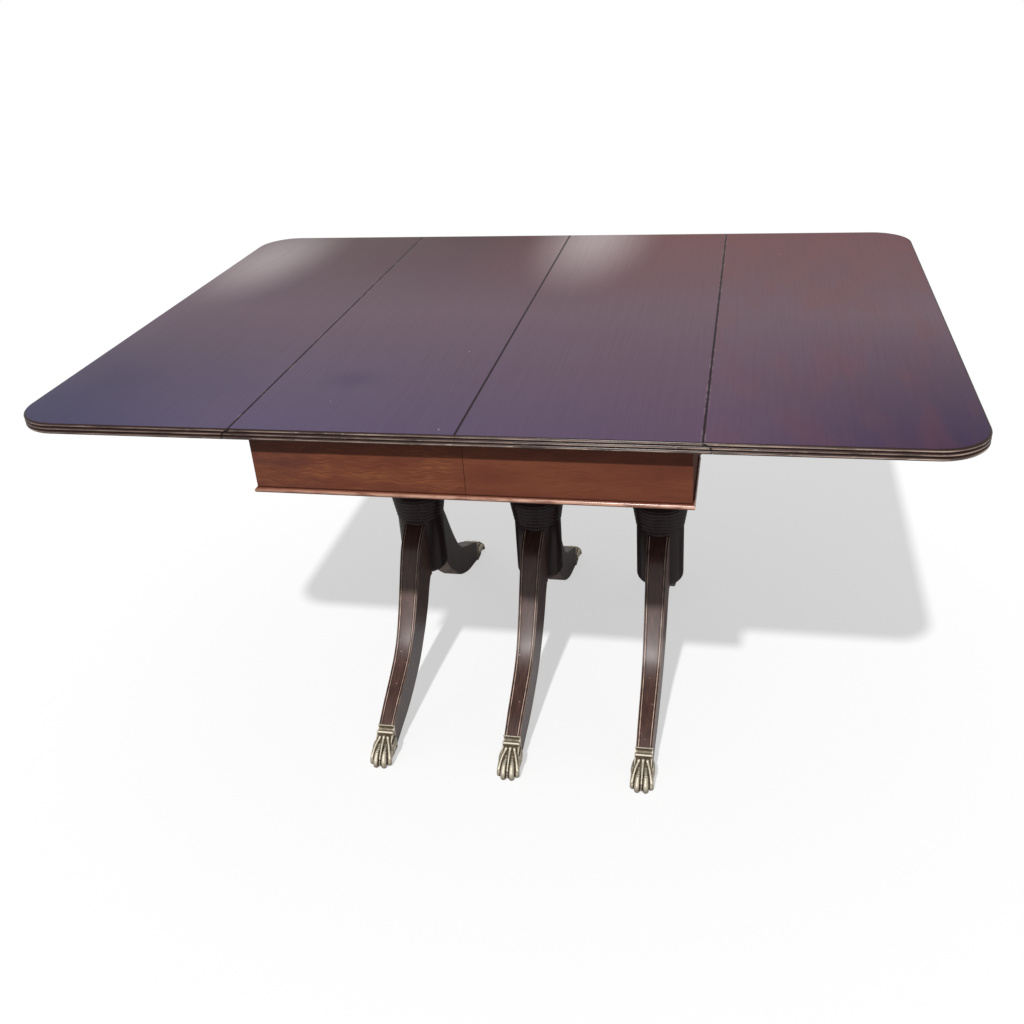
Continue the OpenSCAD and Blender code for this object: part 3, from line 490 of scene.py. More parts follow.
def reeds(reach):
    """Outline (across, height) of a reeded edge that reaches out to a distance, from below to top."""
    meet = math.degrees(math.asin(reed_pitch / 2 / reed_r))
    points = []
    for i in range(reed_count):
        start = -90 if i == 0 else -meet
        end = 90 if i == reed_count - 1 else meet
        turn = arc((reach - reed_r, under_z + reed_r + i * reed_pitch), reed_r, start, end, reed_steps)
        points += turn if i == 0 else turn[1:]
    return points


def mark_edge(piece):
    """Gives the reeds the second material: they are the strips of four corners that don't lie flat."""
    for face in piece.data.polygons:
        face.material_index = int(len(face.vertices) == 4 and abs(face.normal.z) < flat_enough)


edge = reeds(half_depth)
section = [(seam_x, -across, height) for across, height in edge]
section += [(seam_x, across, height) for across, height in reversed(edge)]
top_right = trace("top_right", section)
pull((hinge_x + rule_r - seam_x, 0, 0))
pick(top_right, "EDGE", lambda co: co.x < seam_x + mm and co.z > top_z - hair)
bpy.ops.mesh.bevel(offset=arris, segments=arris_steps, affect="EDGES")
close(top_right, polish_and_painted_reflection, rubbed)
mark_edge(top_right)

rule_centre = (hinge_x, pin_z)
outside = [(hinge_x, top_z + clear), *arc(rule_centre, rule_r, 90, 0, rule_steps),
           (hinge_x + rule_r, under_z - clear), (hinge_x + rule_r + clear, under_z - clear),
           (hinge_x + rule_r + clear, top_z + clear)]
cut(top_right, prism([(across, -half_depth - clear, height) for across, height in outside],
                     (0, 2 * (half_depth + clear), 0)))

recess = [(hinge_x - hinge_plate_in, under_z - clear), (hinge_x - hinge_plate_in, pin_z),
          *arc(rule_centre, knuckle_space_r, 180, knuckle_space_end, rule_steps),
          (hinge_x + rule_r + clear, pin_z + swing_space), (hinge_x + rule_r + clear, under_z - clear)]
for hinge_y in hinge_places:
    cut(top_right, prism([(across, hinge_y - hinge_w / 2, height) for across, height in recess],
                         (0, hinge_w, 0)))
for dowel_y in dowel_places:
    bpy.ops.mesh.primitive_cylinder_add(vertices=dowel_sides, radius=dowel_hole_r, depth=2 * dowel_hole_depth,
                                        location=(seam_x, dowel_y, (top_z + under_z) / 2),
                                        rotation=(0, math.radians(90), 0))
    tool = bpy.context.object
    bpy.ops.object.transform_apply()
    cut(top_right, tool)
smooth(top_right)
to_left = Matrix.Scale(-1, 4, (1, 0, 0))
top_left = copied(top_right, "top_left", to_left)
hand_out(top_right, "right_half", "mahogany_top", "right_top")
hand_out(top_left, "left_half", "mahogany_top", "left_top")


# Leaves. Mahogany boards, hinged to the outer ends of the halves. The reeds run on round the two corners
# of the free end. The hinge end is hollowed to the cove of the rule joint, and let in for the hinges.
leaf_start = leaf_low.x
corner_r = 75 * mm
corner_steps = 24
run_end = leaf_end_x - corner_r
straight = half_depth - corner_r

leaf_right = trace("leaf_right", [(leaf_start, -across, height) for across, height in edge], closed=False)
bpy.ops.mesh.select_all(action="SELECT")
pull((run_end - leaf_start, 0, 0))
bpy.ops.mesh.spin(steps=corner_steps, angle=math.radians(90), center=(run_end, -straight, 0), axis=(0, 0, -1))
pull((0, 2 * straight, 0))
bpy.ops.mesh.spin(steps=corner_steps, angle=math.radians(90), center=(run_end, straight, 0), axis=(0, 0, -1))
pull((leaf_start - run_end, 0, 0))
for level in (top_z, under_z):
    pick(leaf_right, "VERT", lambda co: abs(co.z - level) < hair and co.x < leaf_start + mm)
    bpy.ops.mesh.edge_face_add()
    pick(leaf_right, "VERT", lambda co: abs(co.z - level) < hair)
    bpy.ops.mesh.edge_face_add()
pick(leaf_right, "VERT", lambda co: co.x < leaf_start + hair)
bpy.ops.mesh.edge_face_add()
pick(leaf_right, "EDGE", lambda co: co.x < leaf_start + mm and co.z > top_z - hair)
bpy.ops.mesh.bevel(offset=arris, segments=arris_steps, affect="EDGES")
close(leaf_right, polish_and_painted_reflection, rubbed)
mark_edge(leaf_right)

cove = [*arc(rule_centre, rule_r + rule_gap, 90, 0, rule_steps),
        (hinge_x + rule_r + rule_gap, under_z - clear), (hinge_x - clear, under_z - clear),
        (hinge_x - clear, pin_z + rule_r + rule_gap)]
cut(leaf_right, prism([(across, -half_depth - clear, height) for across, height in cove],
                      (0, 2 * (half_depth + clear), 0)))
plate = [(hinge_x, under_z - clear), (hinge_x, pin_z), (hinge_x + hinge_plate_out, pin_z),
         (hinge_x + hinge_plate_out, under_z - clear)]
for hinge_y in hinge_places:
    cut(leaf_right, prism([(across, hinge_y - hinge_w / 2, height) for across, height in plate],
                          (0, hinge_w, 0)))
smooth(leaf_right)
leaf_left = copied(leaf_right, "leaf_left", to_left)
hand_out(leaf_right, "right_leaf", "mahogany_top", "right_leaf")
hand_out(leaf_left, "left_leaf", "mahogany_top", "left_leaf")


# Aprons. Straight mahogany boards, butted at the corners, with a small quirk sunk along the lower edge
# above the bead. The end apron is notched from below for the leaf stays.
front_low, front_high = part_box("right_front_apron")
end_low, end_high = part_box("right_end_apron")
quirk = 1.2 * mm
board_arris = 0.8 * mm
stay_places = [-330 * mm, 330 * mm]
notch_w = 14 * mm
notch_top = 672.6 * mm

# Mahogany oiled to a soft shine, with a golden flame figure in the left half, which is dull towards its
# outer end, and a plain figure in the right one. The quirk is painted dark: dirt and painted shade.
plain_browns = (linear("#67382a"), linear("#764330"))
flame_gold = linear("#a0673e")
figure_brown = linear("#432419")
dull_brown = linear("#4e3330")
quirk_dirt_and_shade = linear("#1b0f0c")
bend_size = 50 * mm
bend_depth = 24 * mm
figure_size = (24 * mm, 24 * mm, 1.4 * mm)
figure_band = (0.3, 0.46, 0.3, 0)
figure_lift = 0.08 * mm
broad_size = (120 * mm, 120 * mm, 30 * mm)
brown_band = (0.3, 0.7, 0, 1)
lively_band = (-40 * mm, 20 * mm, 1, 0.15)
flame_band = (0.5, 0.68, 0, 0.5)
flame_patch_band = (0.4, 0.6, 0.15, 1)
dull_band = (-330 * mm, -190 * mm, 0.75, 0)
dull_patch_band = (0.32, 0.6, 1, 0.3)
quirk_shade_band = (front_low.z + quirk, front_low.z + 2.5 * quirk, 0.85, 0)

apron_mahogany, tree, shader, place = finish("mahogany_flame_figured")
axes = add(tree, "SeparateXYZ", [place]).outputs
bend = add(tree, "TexNoise", [place, 1 / bend_size, 2]).outputs["Color"]
bend = add(tree, "VectorMath", [bend, (0, 0, bend_depth)], operation="MULTIPLY")
bent = add(tree, "VectorMath", [place, bend], operation="ADD")
figure = add(tree, "Mapping", {"Vector": bent, "Scale": per(figure_size)})
figure = add(tree, "TexNoise", [figure, 1, 5])
broad = add(tree, "Mapping", {"Vector": bent, "Scale": per(broad_size)})
broad = add(tree, "TexNoise", [broad, 1, 2])
browns = add(tree, "MapRange", [broad, *brown_band])
colour = add(tree, "Mix", [browns, *plain_browns], data_type="RGBA")
lively = add(tree, "MapRange", [axes["X"], *lively_band])
flame = add(tree, "MapRange", [figure, *flame_band])
flame = add(tree, "Math", [flame, lively], operation="MULTIPLY")
flame_patch = add(tree, "MapRange", [broad, *flame_patch_band])
flame = add(tree, "Math", [flame, flame_patch], operation="MULTIPLY")
colour = add(tree, "Mix", [flame, colour, flame_gold], data_type="RGBA")
dark_figure = add(tree, "MapRange", [figure, *figure_band])
colour = add(tree, "Mix", [dark_figure, colour, figure_brown], data_type="RGBA")
dulled = add(tree, "MapRange", [axes["X"], *dull_band])
dull_patch = add(tree, "MapRange", [broad, *dull_patch_band])
dulled = add(tree, "Math", [dulled, dull_patch], operation="MULTIPLY")
colour = add(tree, "Mix", [dulled, colour, dull_brown], data_type="RGBA")
# The quirk is painted dark: dirt and painted shade in the groove.
in_quirk_shade = add(tree, "MapRange", [axes["Z"], *quirk_shade_band])
colour = add(tree, "Mix", [in_quirk_shade, colour, quirk_dirt_and_shade], data_type="RGBA")
dress(tree, shader, colour, height=figure, lift=figure_lift)
varnish(shader, rough=0.5, coat=0.15, coat_rough=0.25)


def quirked(inner, outer, low, high):
    """Outline (across, height) of a board with a quirk sunk in the lower edge of its outer face."""
    inward = math.copysign(quirk, inner - outer)
    return [(inner, low), (inner, high), (outer, high), (outer, low + quirk), (outer + inward, low + quirk),
            (outer + inward, low)]


outline = quirked(front_high.y, front_low.y, front_low.z, front_high.z)
apron = trace("apron_front_right", [(front_low.x, across, height) for across, height in outline])
pull((front_high.x - front_low.x, 0, 0))
for end in (front_low.x, front_high.x):
    pick(apron, "EDGE", lambda co: co.y < front_low.y + hair and abs(co.x - end) < hair)
    bpy.ops.mesh.bevel(offset=board_arris, segments=arris_steps, affect="EDGES")
close(apron, apron_mahogany)
to_rear = Matrix.Scale(-1, 4, (0, 1, 0))
rear = copied(apron, "apron_rear_right", to_rear)
hand_out(copied(apron, "apron_front_left", to_left), "left_half", "mahogany_apron", "left_front_apron")
hand_out(copied(rear, "apron_rear_left", to_left), "left_half", "mahogany_apron", "left_rear_apron")
hand_out(apron, "right_half", "mahogany_apron", "right_front_apron")
hand_out(rear, "right_half", "mahogany_apron", "right_rear_apron")

outline = quirked(end_low.x, end_high.x, end_low.z, end_high.z)
end_apron = trace("apron_end_right", [(across, end_low.y, height) for across, height in outline])
pull((0, end_high.y - end_low.y, 0))
close(end_apron, apron_mahogany)


def notch(piece):
    """Cuts the two notches for the stays up from below."""
    for stay_y in stay_places:
        outline = [(stay_y - notch_w / 2, end_low.z - 3 * clear), (stay_y - notch_w / 2, notch_top),
                   (stay_y + notch_w / 2, notch_top), (stay_y + notch_w / 2, end_low.z - 3 * clear)]
        cut(piece, prism([(end_low.x - clear, across, height) for across, height in outline],
                         (end_high.x - end_low.x + 3 * clear, 0, 0)))


notch(end_apron)
smooth(end_apron)
hand_out(copied(end_apron, "apron_end_left", to_left), "left_half", "mahogany_apron", "left_end_apron")
hand_out(end_apron, "right_half", "mahogany_apron", "right_end_apron")


# Bead. A half round moulding glued below the aprons, mitred at the corners. Its crest is painted pale,
# partly rubbed bare wood and partly a painted highlight that is brighter towards the right. The end strip
# is cut through at the notches of the stays.
bead_low, bead_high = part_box("right_apron_bead")
bead_r = (bead_high.z - bead_low.z) / 2
bead_steps = 10
bead_brown = linear("#6e3c2c")
bead_bare_and_highlight = linear("#d8aa92")
bead_crest_z = bead_low.z + 1.2 * bead_r
bead_crest_band = (0.25 * bead_r, 0.8 * bead_r, 1, 0)
bead_rub_size = (30 * mm, 30 * mm, 4 * mm)
bead_rub_band = (0.36, 0.58, 0.25, 1)
bead_lit_handled_band = (-320 * mm, 320 * mm, 0.4, 1)

bead_rubbed_and_lit, tree, shader, place = finish("mahogany_rubbed_bead")
axes = add(tree, "SeparateXYZ", [place]).outputs
# The pale crest is partly rubbed wood and partly a painted highlight.
on_crest = add(tree, "Math", [axes["Z"], bead_crest_z], operation="SUBTRACT")
on_crest = add(tree, "Math", [on_crest], operation="ABSOLUTE")
on_crest = add(tree, "MapRange", [on_crest, *bead_crest_band])
rubs = add(tree, "Mapping", {"Vector": place, "Scale": per(bead_rub_size)})
rubs = add(tree, "TexNoise", [rubs, 1, 4])
rubs = add(tree, "MapRange", [rubs, *bead_rub_band])
# Paler towards the right: partly wear and partly painted highlight.
handled_and_lit = add(tree, "MapRange", [axes["X"], *bead_lit_handled_band])
bare_and_glint = add(tree, "Math", [on_crest, rubs], operation="MULTIPLY")
bare_and_glint = add(tree, "Math", [bare_and_glint, handled_and_lit], operation="MULTIPLY")
colour = add(tree, "Mix", [bare_and_glint, bead_brown, bead_bare_and_highlight], data_type="RGBA")
dress(tree, shader, colour)
varnish(shader, rough=0.4, coat=0.5, coat_rough=0.18)


def bead_outline(inner, crest):
    """Outline (across, height) of the moulding, square at the back and half round at the crest."""
    out = math.copysign(1, crest - inner)
    middle = (crest - out * bead_r, bead_low.z + bead_r)
    turn = arc(middle, bead_r, -90, 90, bead_steps)
    crest_line = [(middle[0] + out * (across - middle[0]), height) for across, height in turn]
    return [(inner, bead_low.z), *crest_line, (inner, bead_high.z)]


strips = []
outline = bead_outline(front_high.y, bead_low.y)
strip = trace("bead_right", [(front_low.x, across, height) for across, height in outline])
pull((bead_high.x - front_low.x, 0, 0))
bpy.ops.mesh.select_all(action="SELECT")
bpy.ops.mesh.bisect(plane_co=(end_low.x, front_high.y, 0), plane_no=(1, 1, 0), clear_outer=True,
                    use_fill=True)
close(strip, bead_rubbed_and_lit)
strips.append(strip)
strips.append(copied(strip, "bead_rear", to_rear))
outline = bead_outline(end_low.x, bead_high.x)
strip = trace("bead_end", [(across, bead_low.y, height) for across, height in outline])
pull((0, bead_high.y - bead_low.y, 0))
for way in (-1, 1):
    bpy.ops.mesh.select_all(action="SELECT")
    bpy.ops.mesh.bisect(plane_co=(end_low.x, way * end_high.y, 0), plane_no=(1, -way, 0), clear_inner=True,
                        use_fill=True)
close(strip, bead_rubbed_and_lit)
notch(strip)
strips.append(strip)
activate(strips[0])
for strip in strips:
    strip.select_set(True)
bpy.ops.object.join()
bead = bpy.context.object
bead.name = "bead_right"
smooth(bead)
hand_out(copied(bead, "bead_left", to_left), "left_half", "mahogany_apron", "left_apron_bead")
hand_out(bead, "right_half", "mahogany_apron", "right_apron_bead")


# Columns. Mahogany, each turned from one piece: a drum that the legs are dovetailed into, a flared
# collar of six fine rings, and a vase that thins to the neck below the cross beam.
column_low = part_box("centre_column")[0]
beam_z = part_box("centre_bolster")[0].z
column_pitch = 243 * mm
drum_r = 46 * mm
drum_round = 14 * mm
collar_z = 322 * mm
ring_z = collar_z + 3 * mm
ring_count = 6
ring_pitch = 8 * mm
ring_r = 4.4 * mm
ring_out = 1 * mm
ring_steps = 8
collar_flare = 8 * mm
collar_slope = 10 * mm
vase_z = collar_z + 64 * mm
vase_h = beam_z - collar_z
# The vase and the neck: distance in from the drum's radius, and height
vase_foot = (2 * mm, vase_z)
vase_curve = [(6 * mm, vase_z + 6 * mm), (2 * mm, vase_z + 0.16 * vase_h), (12 * mm, vase_z + 0.34 * vase_h),
              (20 * mm, beam_z - 46 * mm), (14 * mm, beam_z - 26 * mm)]
vase_steps = 6
neck_in = 4 * mm
neck_z = beam_z - 22 * mm
neck_ring_r = 8 * mm
neck_ring_z = beam_z - 12 * mm
neck_ring_turn = 60
round_steps = 8
turning_steps = 72

# Mahogany stained nearly black, with a thin old polish
stain_black = linear("#241a1b")
stain_brown = linear("#463535")
stained_grain_size = (6 * mm, 6 * mm, 80 * mm)

dark_mahogany, tree, shader, place = finish("mahogany_dark_stained")
grain = add(tree, "Mapping", {"Vector": place, "Scale": per(stained_grain_size)})
grain = add(tree, "TexNoise", [grain, 1, 5])
colour = add(tree, "Mix", [grain, stain_black, stain_brown], data_type="RGBA")
dress(tree, shader, colour, height=grain)
varnish(shader, rough=0.5, coat=0.3, coat_rough=0.25)


def through(points, steps):
    """A smooth curve through points, with as many steps between each two."""
    curve = []
    for i in range(len(points) - 1):
        a, b, c, d = [Vector(points[min(max(k, 0), len(points) - 1)]) for k in (i - 1, i, i + 1, i + 2)]
        for k in range(steps):
            t = k / steps
            curve.append(0.5 * (2 * b + (c - a) * t + (2 * a - 5 * b + 4 * c - d) * t ** 2
                                + (3 * b - a - 3 * c + d) * t ** 3))
    return curve + [Vector(points[-1])]


def collar_reach(height):
    """Radius of the flared and ringed collar at a height above its lower end."""
    ring = min(math.floor(height / ring_pitch), ring_count - 1)
    off = abs(height / ring_pitch - ring - 0.5) * ring_pitch
    axis = drum_r + ring_out - ring_r + collar_flare * (ring + 0.5) / ring_count
    return axis + math.sqrt(ring_r ** 2 - off ** 2)


rise = [i * ring_pitch / ring_steps for i in range(ring_count * ring_steps + 1)]
foot_round = arc((drum_r - drum_round, column_low.z + drum_round), drum_round, -90, 0, round_steps)
rings = [(collar_reach(height), ring_z + height) for height in rise]
collar_top = [(drum_r + collar_flare, ring_z + rise[-1] + mm), (drum_r + collar_flare, vase_z - collar_slope)]
vase = through([(drum_r - inset, height) for inset, height in vase_curve], vase_steps)
neck_ring = arc((drum_r - neck_ring_r, neck_ring_z), neck_ring_r, -neck_ring_turn, neck_ring_turn,
                round_steps)
outline = [(0, column_low.z), *foot_round, (drum_r, ring_z), *rings, *collar_top,
           (drum_r - vase_foot[0], vase_foot[1]), *vase,
           (drum_r - neck_in, neck_z), *neck_ring, (drum_r - neck_in, beam_z), (0, beam_z)]
column = trace("column_centre", [(across, 0, height) for across, height in outline], closed=False)
bpy.ops.mesh.select_all(action="SELECT")
bpy.ops.mesh.spin(steps=turning_steps, angle=math.radians(360), center=(0, 0, 0), axis=(0, 0, 1))
close(column, dark_mahogany)
for side, way in (("left", -1), ("right", 1)):
    hand_out(copied(column, "column_" + side, Matrix.Translation((way * column_pitch, 0, 0))),
             side + "_half", "mahogany_dark", side + "_column")
hand_out(column, "centre_pedestal", "mahogany_dark", "centre_column")


# Sabre legs. Mahogany, sawn to a swept curve, and tapered to the paw. The outer face has a thin bead run
# between two grooves near each edge, and the corners have worn down to bare wood.
leg_reach = 340 * mm
leg_start = 36 * mm
# Distance from the column's axis, and width of the leg there
leg_widths = [(36 * mm, 43 * mm), (193 * mm, 35 * mm), (341 * mm, 30 * mm)]
# Curves of the face and the sole: share of the reach past the drum, and share of the collar's height
face_shares = [(0, 0.99), (0.055, 0.962), (0.092, 0.938), (0.131, 0.907), (0.163, 0.87), (0.22, 0.786),
               (0.33, 0.615), (0.45, 0.46), (0.56, 0.37), (0.70, 0.30), (0.88, 0.225), (1, 0.165)]
sole_shares = [(0, 0.62), (0.048, 0.568), (0.115, 0.478), (0.197, 0.392), (0.272, 0.328), (0.354, 0.262),
               (0.43, 0.208), (0.54, 0.152), (0.66, 0.104), (0.75, 0.075), (0.864, 0.047), (1, 0.014)]
leg_steps = 6
# A straight bar, whose points then move to the curves
bar_half = 20 * mm
bar_deep = 40 * mm
bar_step = 10 * mm
side_top = -4 * mm
side_low = 3 * mm - bar_deep
sole_arris = 1 * mm
sole_worn_below = 2 * mm - bar_deep
face_worn_above = -2 * mm
sole_wear = 0.5
# Face moulding in mm: distance in from the edge, height over the face, and wear, below 0 in grooves
moulding = [(0, -0.9, 0.2), (0.3, -0.3, 0.45), (0.9, 0, 0.4), (1.6, 0, 0), (2.0, -1.1, -1), (3.2, -1.1, -1),
            (3.6, -0.2, 0.5), (4.1, 0.3, 1), (5.0, 0.3, 1), (5.5, -0.2, 0.5), (5.9, -0.9, -0.9),
            (6.5, -0.9, -0.9), (7.0, -0.35, 0), (9.5, -0.2, 0)]

# The same mahogany stained dark brown. The wear attribute is 1 on rubbed corners and beads, which show
# pale bare wood, and -1 in the grooves, which are painted darker. Small scuffs dot the lower half. The
# rear legs are painted darker, as painted shade.
leg_browns = (linear("#33201b"), linear("#50342c"))
scuff_pale = linear("#b5a097")
rear_painted_shade = linear("#130e10")
rubbed_pale = linear("#c6a998")
groove_black = linear("#140d0c")
groove_share = 0.9
leg_grain_size = (5 * mm, 30 * mm, 30 * mm)
leg_grain_band = (0.3, 0.7, 0, 1)
leg_grain_lift = 0.06 * mm
scuff_cell = 12 * mm
scuff_band = (0.08, 0.15, 0.7, 0)
scuff_patch_size = 30 * mm
scuff_patch_band = (0.44, 0.56, 0, 1)
scuff_height_band = (150 * mm, 230 * mm, 1, 0)
rear_shade_band = (-40 * mm, 40 * mm, 0, 0.65)
rubbed_size = 20 * mm
rubbed_band = (0.32, 0.6, 0.35, 1)

leg_mahogany, tree, shader, place = finish("mahogany_dark_rubbed")
axes = add(tree, "SeparateXYZ", [place]).outputs
grain = add(tree, "Mapping", {"Vector": place, "Scale": per(leg_grain_size)})
grain = add(tree, "TexNoise", [grain, 1, 4])
browns = add(tree, "MapRange", [grain, *leg_grain_band])
colour = add(tree, "Mix", [browns, *leg_browns], data_type="RGBA")
scuffs = add(tree, "TexVoronoi", [place, 1 / scuff_cell])
scuffs = add(tree, "MapRange", [scuffs, *scuff_band])
scuff_patch = add(tree, "TexNoise", [place, 1 / scuff_patch_size, 3])
scuff_patch = add(tree, "MapRange", [scuff_patch, *scuff_patch_band])
scuffs = add(tree, "Math", [scuffs, scuff_patch], operation="MULTIPLY")
low_down = add(tree, "MapRange", [axes["Z"], *scuff_height_band])
scuffs = add(tree, "Math", [scuffs, low_down], operation="MULTIPLY")
colour = add(tree, "Mix", [scuffs, colour, scuff_pale], data_type="RGBA")
# The rear legs are painted darker: painted shade under the top.
rearward = add(tree, "MapRange", [axes["Y"], *rear_shade_band])
colour = add(tree, "Mix", [rearward, colour, rear_painted_shade], data_type="RGBA")
wear = add(tree, "Attribute", attribute_name="wear").outputs["Fac"]
rubs = add(tree, "TexNoise", [place, 1 / rubbed_size, 4])
rubs = add(tree, "MapRange", [rubs, *rubbed_band])
rubs = add(tree, "Math", [wear, rubs], operation="MULTIPLY", use_clamp=True)
colour = add(tree, "Mix", [rubs, colour, rubbed_pale], data_type="RGBA")
in_groove = add(tree, "Math", [wear, -groove_share], operation="MULTIPLY", use_clamp=True)
colour = add(tree, "Mix", [in_groove, colour, groove_black], data_type="RGBA")
dress(tree, shader, colour, height=grain, lift=leg_grain_lift)
varnish(shader, rough=0.45, coat=0.85, coat_rough=0.42)


def leg_line(shares):
    """Points (along, height) of a leg's curve from its shares of the reach and of the collar's height."""
    return through([(drum_r + along * (leg_reach - drum_r), height * collar_z) for along, height in shares],
                   leg_steps)


def between(pairs, value):
    """Reads a value off a line through pairs."""
    for (a, low), (b, high) in zip(pairs, pairs[1:]):
        if value <= b:
            return low + (high - low) * max(0, (value - a) / (b - a))
    return pairs[-1][1]


faces = [Vector((leg_start, face_shares[0][1] * collar_z)), *leg_line(face_shares)]
soles = [Vector((leg_start, sole_shares[0][1] * collar_z)), *leg_line(sole_shares)]
rim = [(-(bar_half - inset * mm), height * mm) for inset, height, rub in moulding]
outline = rim + [(-across, height) for across, height in reversed(rim)]
outline += [(bar_half, side_top), (bar_half, side_low), (bar_half, sole_arris - bar_deep),
            (bar_half - sole_arris, -bar_deep), (sole_arris - bar_half, -bar_deep),
            (-bar_half, sole_arris - bar_deep), (-bar_half, side_low), (-bar_half, side_top)]
leg = trace("leg", [(0, across, height) for across, height in outline])
for _ in faces[1:]:
    pull((bar_step, 0, 0))
bpy.ops.object.mode_set(mode="OBJECT")

# Each ring of the bar moves to its place between the face and the sole, and each point gets its wear
moulding_wear = [(inset * mm, rub) for inset, height, rub in moulding]
worn = leg.data.attributes.new("wear", "FLOAT", "POINT")
for corner in leg.data.vertices:
    at = round(corner.co.x / bar_step)
    inset = bar_half - abs(corner.co.y)
    face, sole = faces[at], soles[at]
    along = (faces[min(at + 1, len(faces) - 1)] - faces[max(at - 1, 0)]).normalized()
    depth = (face - sole).normalized()
    on_sole = corner.co.z < -bar_deep / 2
    half = between(leg_widths, (face.x + sole.x) / 2 if on_sole else face.x) / 2
    if on_sole:
        spot = sole + depth * (corner.co.z + bar_deep)
        worn.data[corner.index].value = sole_wear * (corner.co.z < sole_worn_below)
    else:
        spot = face + Vector((-along.y, along.x)) * corner.co.z
        worn.data[corner.index].value = between(moulding_wear, inset) * (corner.co.z > face_worn_above)
    corner.co = (spot.x, math.copysign(half - inset, corner.co.y), spot.y)
bpy.ops.object.mode_set(mode="EDIT")
close(leg, leg_mahogany)


# Paws. Cast brass sockets in the form of a lion's foot, pushed over the ends of the legs: a collar with a
# roll, three sinews and four toes, rubbed bright where it stands proud and brown in the hollows.
paw_voxel = 0.9 * mm
paw_soften = 2
paw_softness = 0.5
ball_segments = 14
sole_shy = 0.1 * mm
hollow_blur = 6

# Cast brass, long unpolished: pale where hands and shoes rub it, olive brown in the hollows, and darker
# near the floor, dirt and painted shade
brass_rubbed = linear("#b9b1a1")
brass_tarnish_and_shade = linear("#54493b")
brass_rough = (0.62, 0.72)
hollow_band = (-0.025, 0.022, 0, 1)
floor_shade_band = (3 * mm, 16 * mm, 0.75, 0)
speck_size = 4 * mm
speck_share = 0.6

aged_brass, tree, shader, place = finish("brass_cast_aged")
axes = add(tree, "SeparateXYZ", [place]).outputs
specks = add(tree, "TexNoise", [place, 1 / speck_size, 3])
specks = add(tree, "Math", [specks, speck_share, -speck_share / 2], operation="MULTIPLY_ADD")
# Darker near the floor: dirt and painted shade.
floor_dirt_and_shade = add(tree, "MapRange", [axes["Z"], *floor_shade_band])
specks = add(tree, "Math", [specks, floor_dirt_and_shade], operation="ADD")
tarnish_and_floor_shade = add(tree, "Attribute", attribute_name="hollow").outputs["Fac"]
tarnish_and_floor_shade = add(tree, "MapRange", [tarnish_and_floor_shade, *hollow_band])
tarnish_and_floor_shade = add(tree, "Math", [tarnish_and_floor_shade, specks], operation="ADD", use_clamp=True)
colour = add(tree, "Mix", [tarnish_and_floor_shade, brass_rubbed, brass_tarnish_and_shade], data_type="RGBA")
rough = add(tree, "MapRange", [tarnish_and_floor_shade, 0, 1, *brass_rough])
dress(tree, shader, colour, rough=rough)
shader.inputs["Metallic"].default_value = 1

parts = []


def limb(points, radii, steps=4):
    """Adds a row of balls along a curve, in mm, which the remesh melts to one rounded limb."""
    for at, point in enumerate(through(points, steps)):
        share = at / steps
        lower = min(int(share), len(radii) - 2)
        size = radii[lower] + (radii[lower + 1] - radii[lower]) * (share - lower)
        bpy.ops.mesh.primitive_uv_sphere_add(segments=ball_segments, ring_count=ball_segments // 2,
                                             radius=size * mm, location=Vector(point) * mm)
        parts.append(bpy.context.object)


# Outline of the socket in mm: distance from the column's axis, and height
socket_outline = [(340, 2), (356, 1.5), (372, 2), (372, 30), (365, 36), (358, 40), (350, 43.5), (345.5, 46),
                  (343, 48), (342, 51), (340, 52)]
half_socket = 16 * mm
paw = trace("paw", [(along * mm, -half_socket, height * mm) for along, height in socket_outline])
pull((0, 2 * half_socket, 0))
close(paw)
# On each side a pad, the outer toe, the inner toe with its claw, and a sinew down to the outer toe
for way in (-1, 1):
    limb([(352, way * 8, 23), (366, way * 9.5, 21), (380, way * 10, 14), (390, way * 9, 8)],
         [13, 13, 10, 6.5])
    limb([(364, way * 14, 26), (378, way * 15.5, 21), (388, way * 16.2, 13), (392, way * 16.4, 6)],
         [4.5, 5, 5.2, 5])
    limb([(374, way * 6.5, 27), (388, way * 7, 22), (397, way * 7.4, 13), (399, way * 7.6, 5)],
         [3.5, 4.6, 5.2, 5.6])
    limb([(401.5, way * 7.6, 10), (403, way * 7.6, 8)], [2, 1.6])
    limb([(361, way * 7.6, 39.5), (364, way * 8.6, 38), (376, way * 13, 31), (390, way * 17.2, 15)],
         [3.4, 2.6, 2, 3.6], 8)
# The middle sinew, the bead along the rim, and the roll in front of it
limb([(361, 0, 40.5), (364, 0, 39), (378, 0, 32), (394, 0, 19), (401, 0, 7)], [3.4, 2.6, 1.9, 2, 2], 8)
limb([(341.4, -15.6, 52.4), (341.4, 15.6, 52.4)], [1.3, 1.3], 26)
limb([(352.5, -14, 45), (352.5, 14, 45)], [2.8, 2.8], 16)
activate(paw)
for part in parts:
    part.select_set(True)
bpy.ops.object.join()
bpy.ops.object.transform_apply()
paw.data.remesh_voxel_size = paw_voxel
bpy.ops.object.voxel_remesh()
soften = paw.modifiers.new("soften", "SMOOTH")
soften.factor = paw_softness
soften.iterations = paw_soften
bpy.ops.object.modifier_apply(modifier=soften.name)
bpy.ops.object.mode_set(mode="EDIT")
bpy.ops.mesh.select_all(action="SELECT")
bpy.ops.mesh.bisect(plane_co=(0, 0, sole_shy), plane_no=(0, 0, 1), clear_inner=True, use_fill=True)
close(paw, aged_brass)

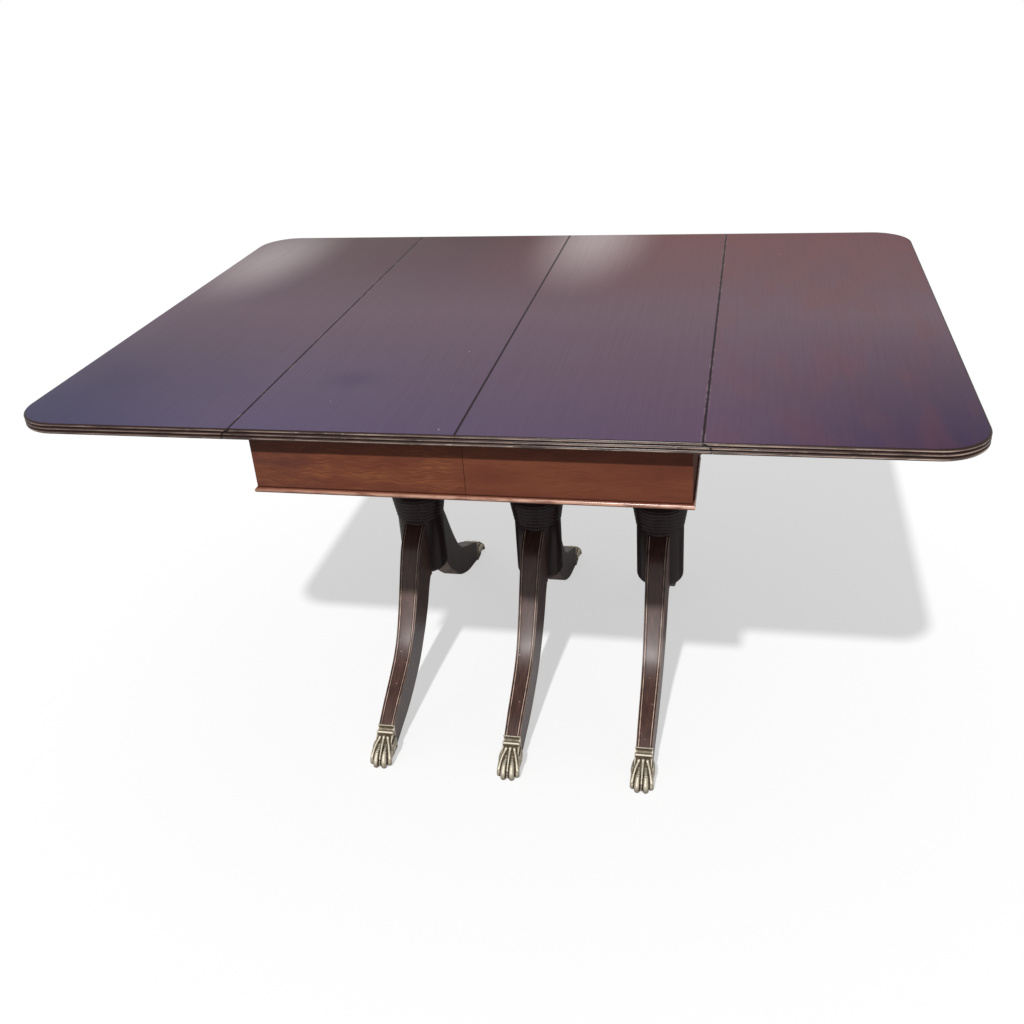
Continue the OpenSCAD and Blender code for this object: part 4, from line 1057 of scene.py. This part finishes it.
# How far each point of the paw lies below its neighbours, spread out a little, for the brown hollows
shape = bmesh.new()
shape.from_mesh(paw.data)
shape.verts.ensure_lookup_table()
hollow = [sum((e.other_vert(v).co - v.co).dot(v.normal) for e in v.link_edges) / len(v.link_edges)
          for v in shape.verts]
for _ in range(hollow_blur):
    hollow = [(hollow[v.index] + sum(hollow[e.other_vert(v).index] for e in v.link_edges))
              / (1 + len(v.link_edges)) for v in shape.verts]
shape.free()
paw.data.attributes.new("hollow", "FLOAT", "POINT").data.foreach_set("value", [h / mm for h in hollow])

for side, way, body in (("left", -1, "left_half"), ("centre", 0, "centre_pedestal"),
                        ("right", 1, "right_half")):
    for end, turn in (("front", -90), ("rear", 90)):
        seat = Matrix.Translation((way * column_pitch, 0, 0)) @ Matrix.Rotation(math.radians(turn), 4, "Z")
        hand_out(copied(leg, f"leg_{side}_{end}", seat), body, "mahogany_dark", f"{side}_{end}_leg")
        hand_out(copied(paw, f"paw_{side}_{end}", seat), body, "brass", f"{side}_{end}_paw")
bpy.data.objects.remove(leg)
bpy.data.objects.remove(paw)


# Slides, corner blocks and table pins. Plain beech, planed and left bare. The slides run in each other
# below the top, and the blocks are glued into the corners of the aprons.
beech_dark = linear("#b08a5c")
beech_light = linear("#cfae82")
beech_grain_size = (40 * mm, 2 * mm, 3 * mm)

beech, tree, shader, place = finish("beech_planed")
grain = add(tree, "Mapping", {"Vector": place, "Scale": per(beech_grain_size)})
grain = add(tree, "TexNoise", [grain, 1, 5])
colour = add(tree, "Mix", [grain, beech_dark, beech_light], data_type="RGBA")
dress(tree, shader, colour, height=grain)
shader.inputs["Roughness"].default_value = 0.6
shader.inputs["Specular IOR Level"].default_value = 0.3


# Racks, pinion, stays, lock levers and screws. Mild steel, drawn or milled, with a dull grey skin, and
# screwed to the wood.
steel_dark = linear("#77777a")
steel_light = linear("#9a9a9c")
steel_rough = (0.3, 0.5)
mill_mark_size = (16 * mm, 0.7 * mm, 0.7 * mm)

steel, tree, shader, place = finish("mild_steel_milled")
marks = add(tree, "Mapping", {"Vector": place, "Scale": per(mill_mark_size)})
marks = add(tree, "TexNoise", [marks, 1, 3])
colour = add(tree, "Mix", [marks, steel_dark, steel_light], data_type="RGBA")
rough = add(tree, "MapRange", [marks, 0, 1, *steel_rough])
dress(tree, shader, colour, rough=rough)
shader.inputs["Metallic"].default_value = 1


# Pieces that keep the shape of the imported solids. They lie hidden below the top, and each gets the finish
# that the last word of its name calls for.
for name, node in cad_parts.items():
    words = name.split("_")
    node.data.materials.clear()
    if words[-1] in ("rails", "blocks", "pins"):
        node.data.materials.append(beech)
    elif words[-1] == "bolster":
        node.data.materials.append(dark_mahogany)
    elif words[-1] in ("plates", "cases", "keepers"):
        node.data.materials.append(aged_brass)
    else:
        node.data.materials.append(steel)
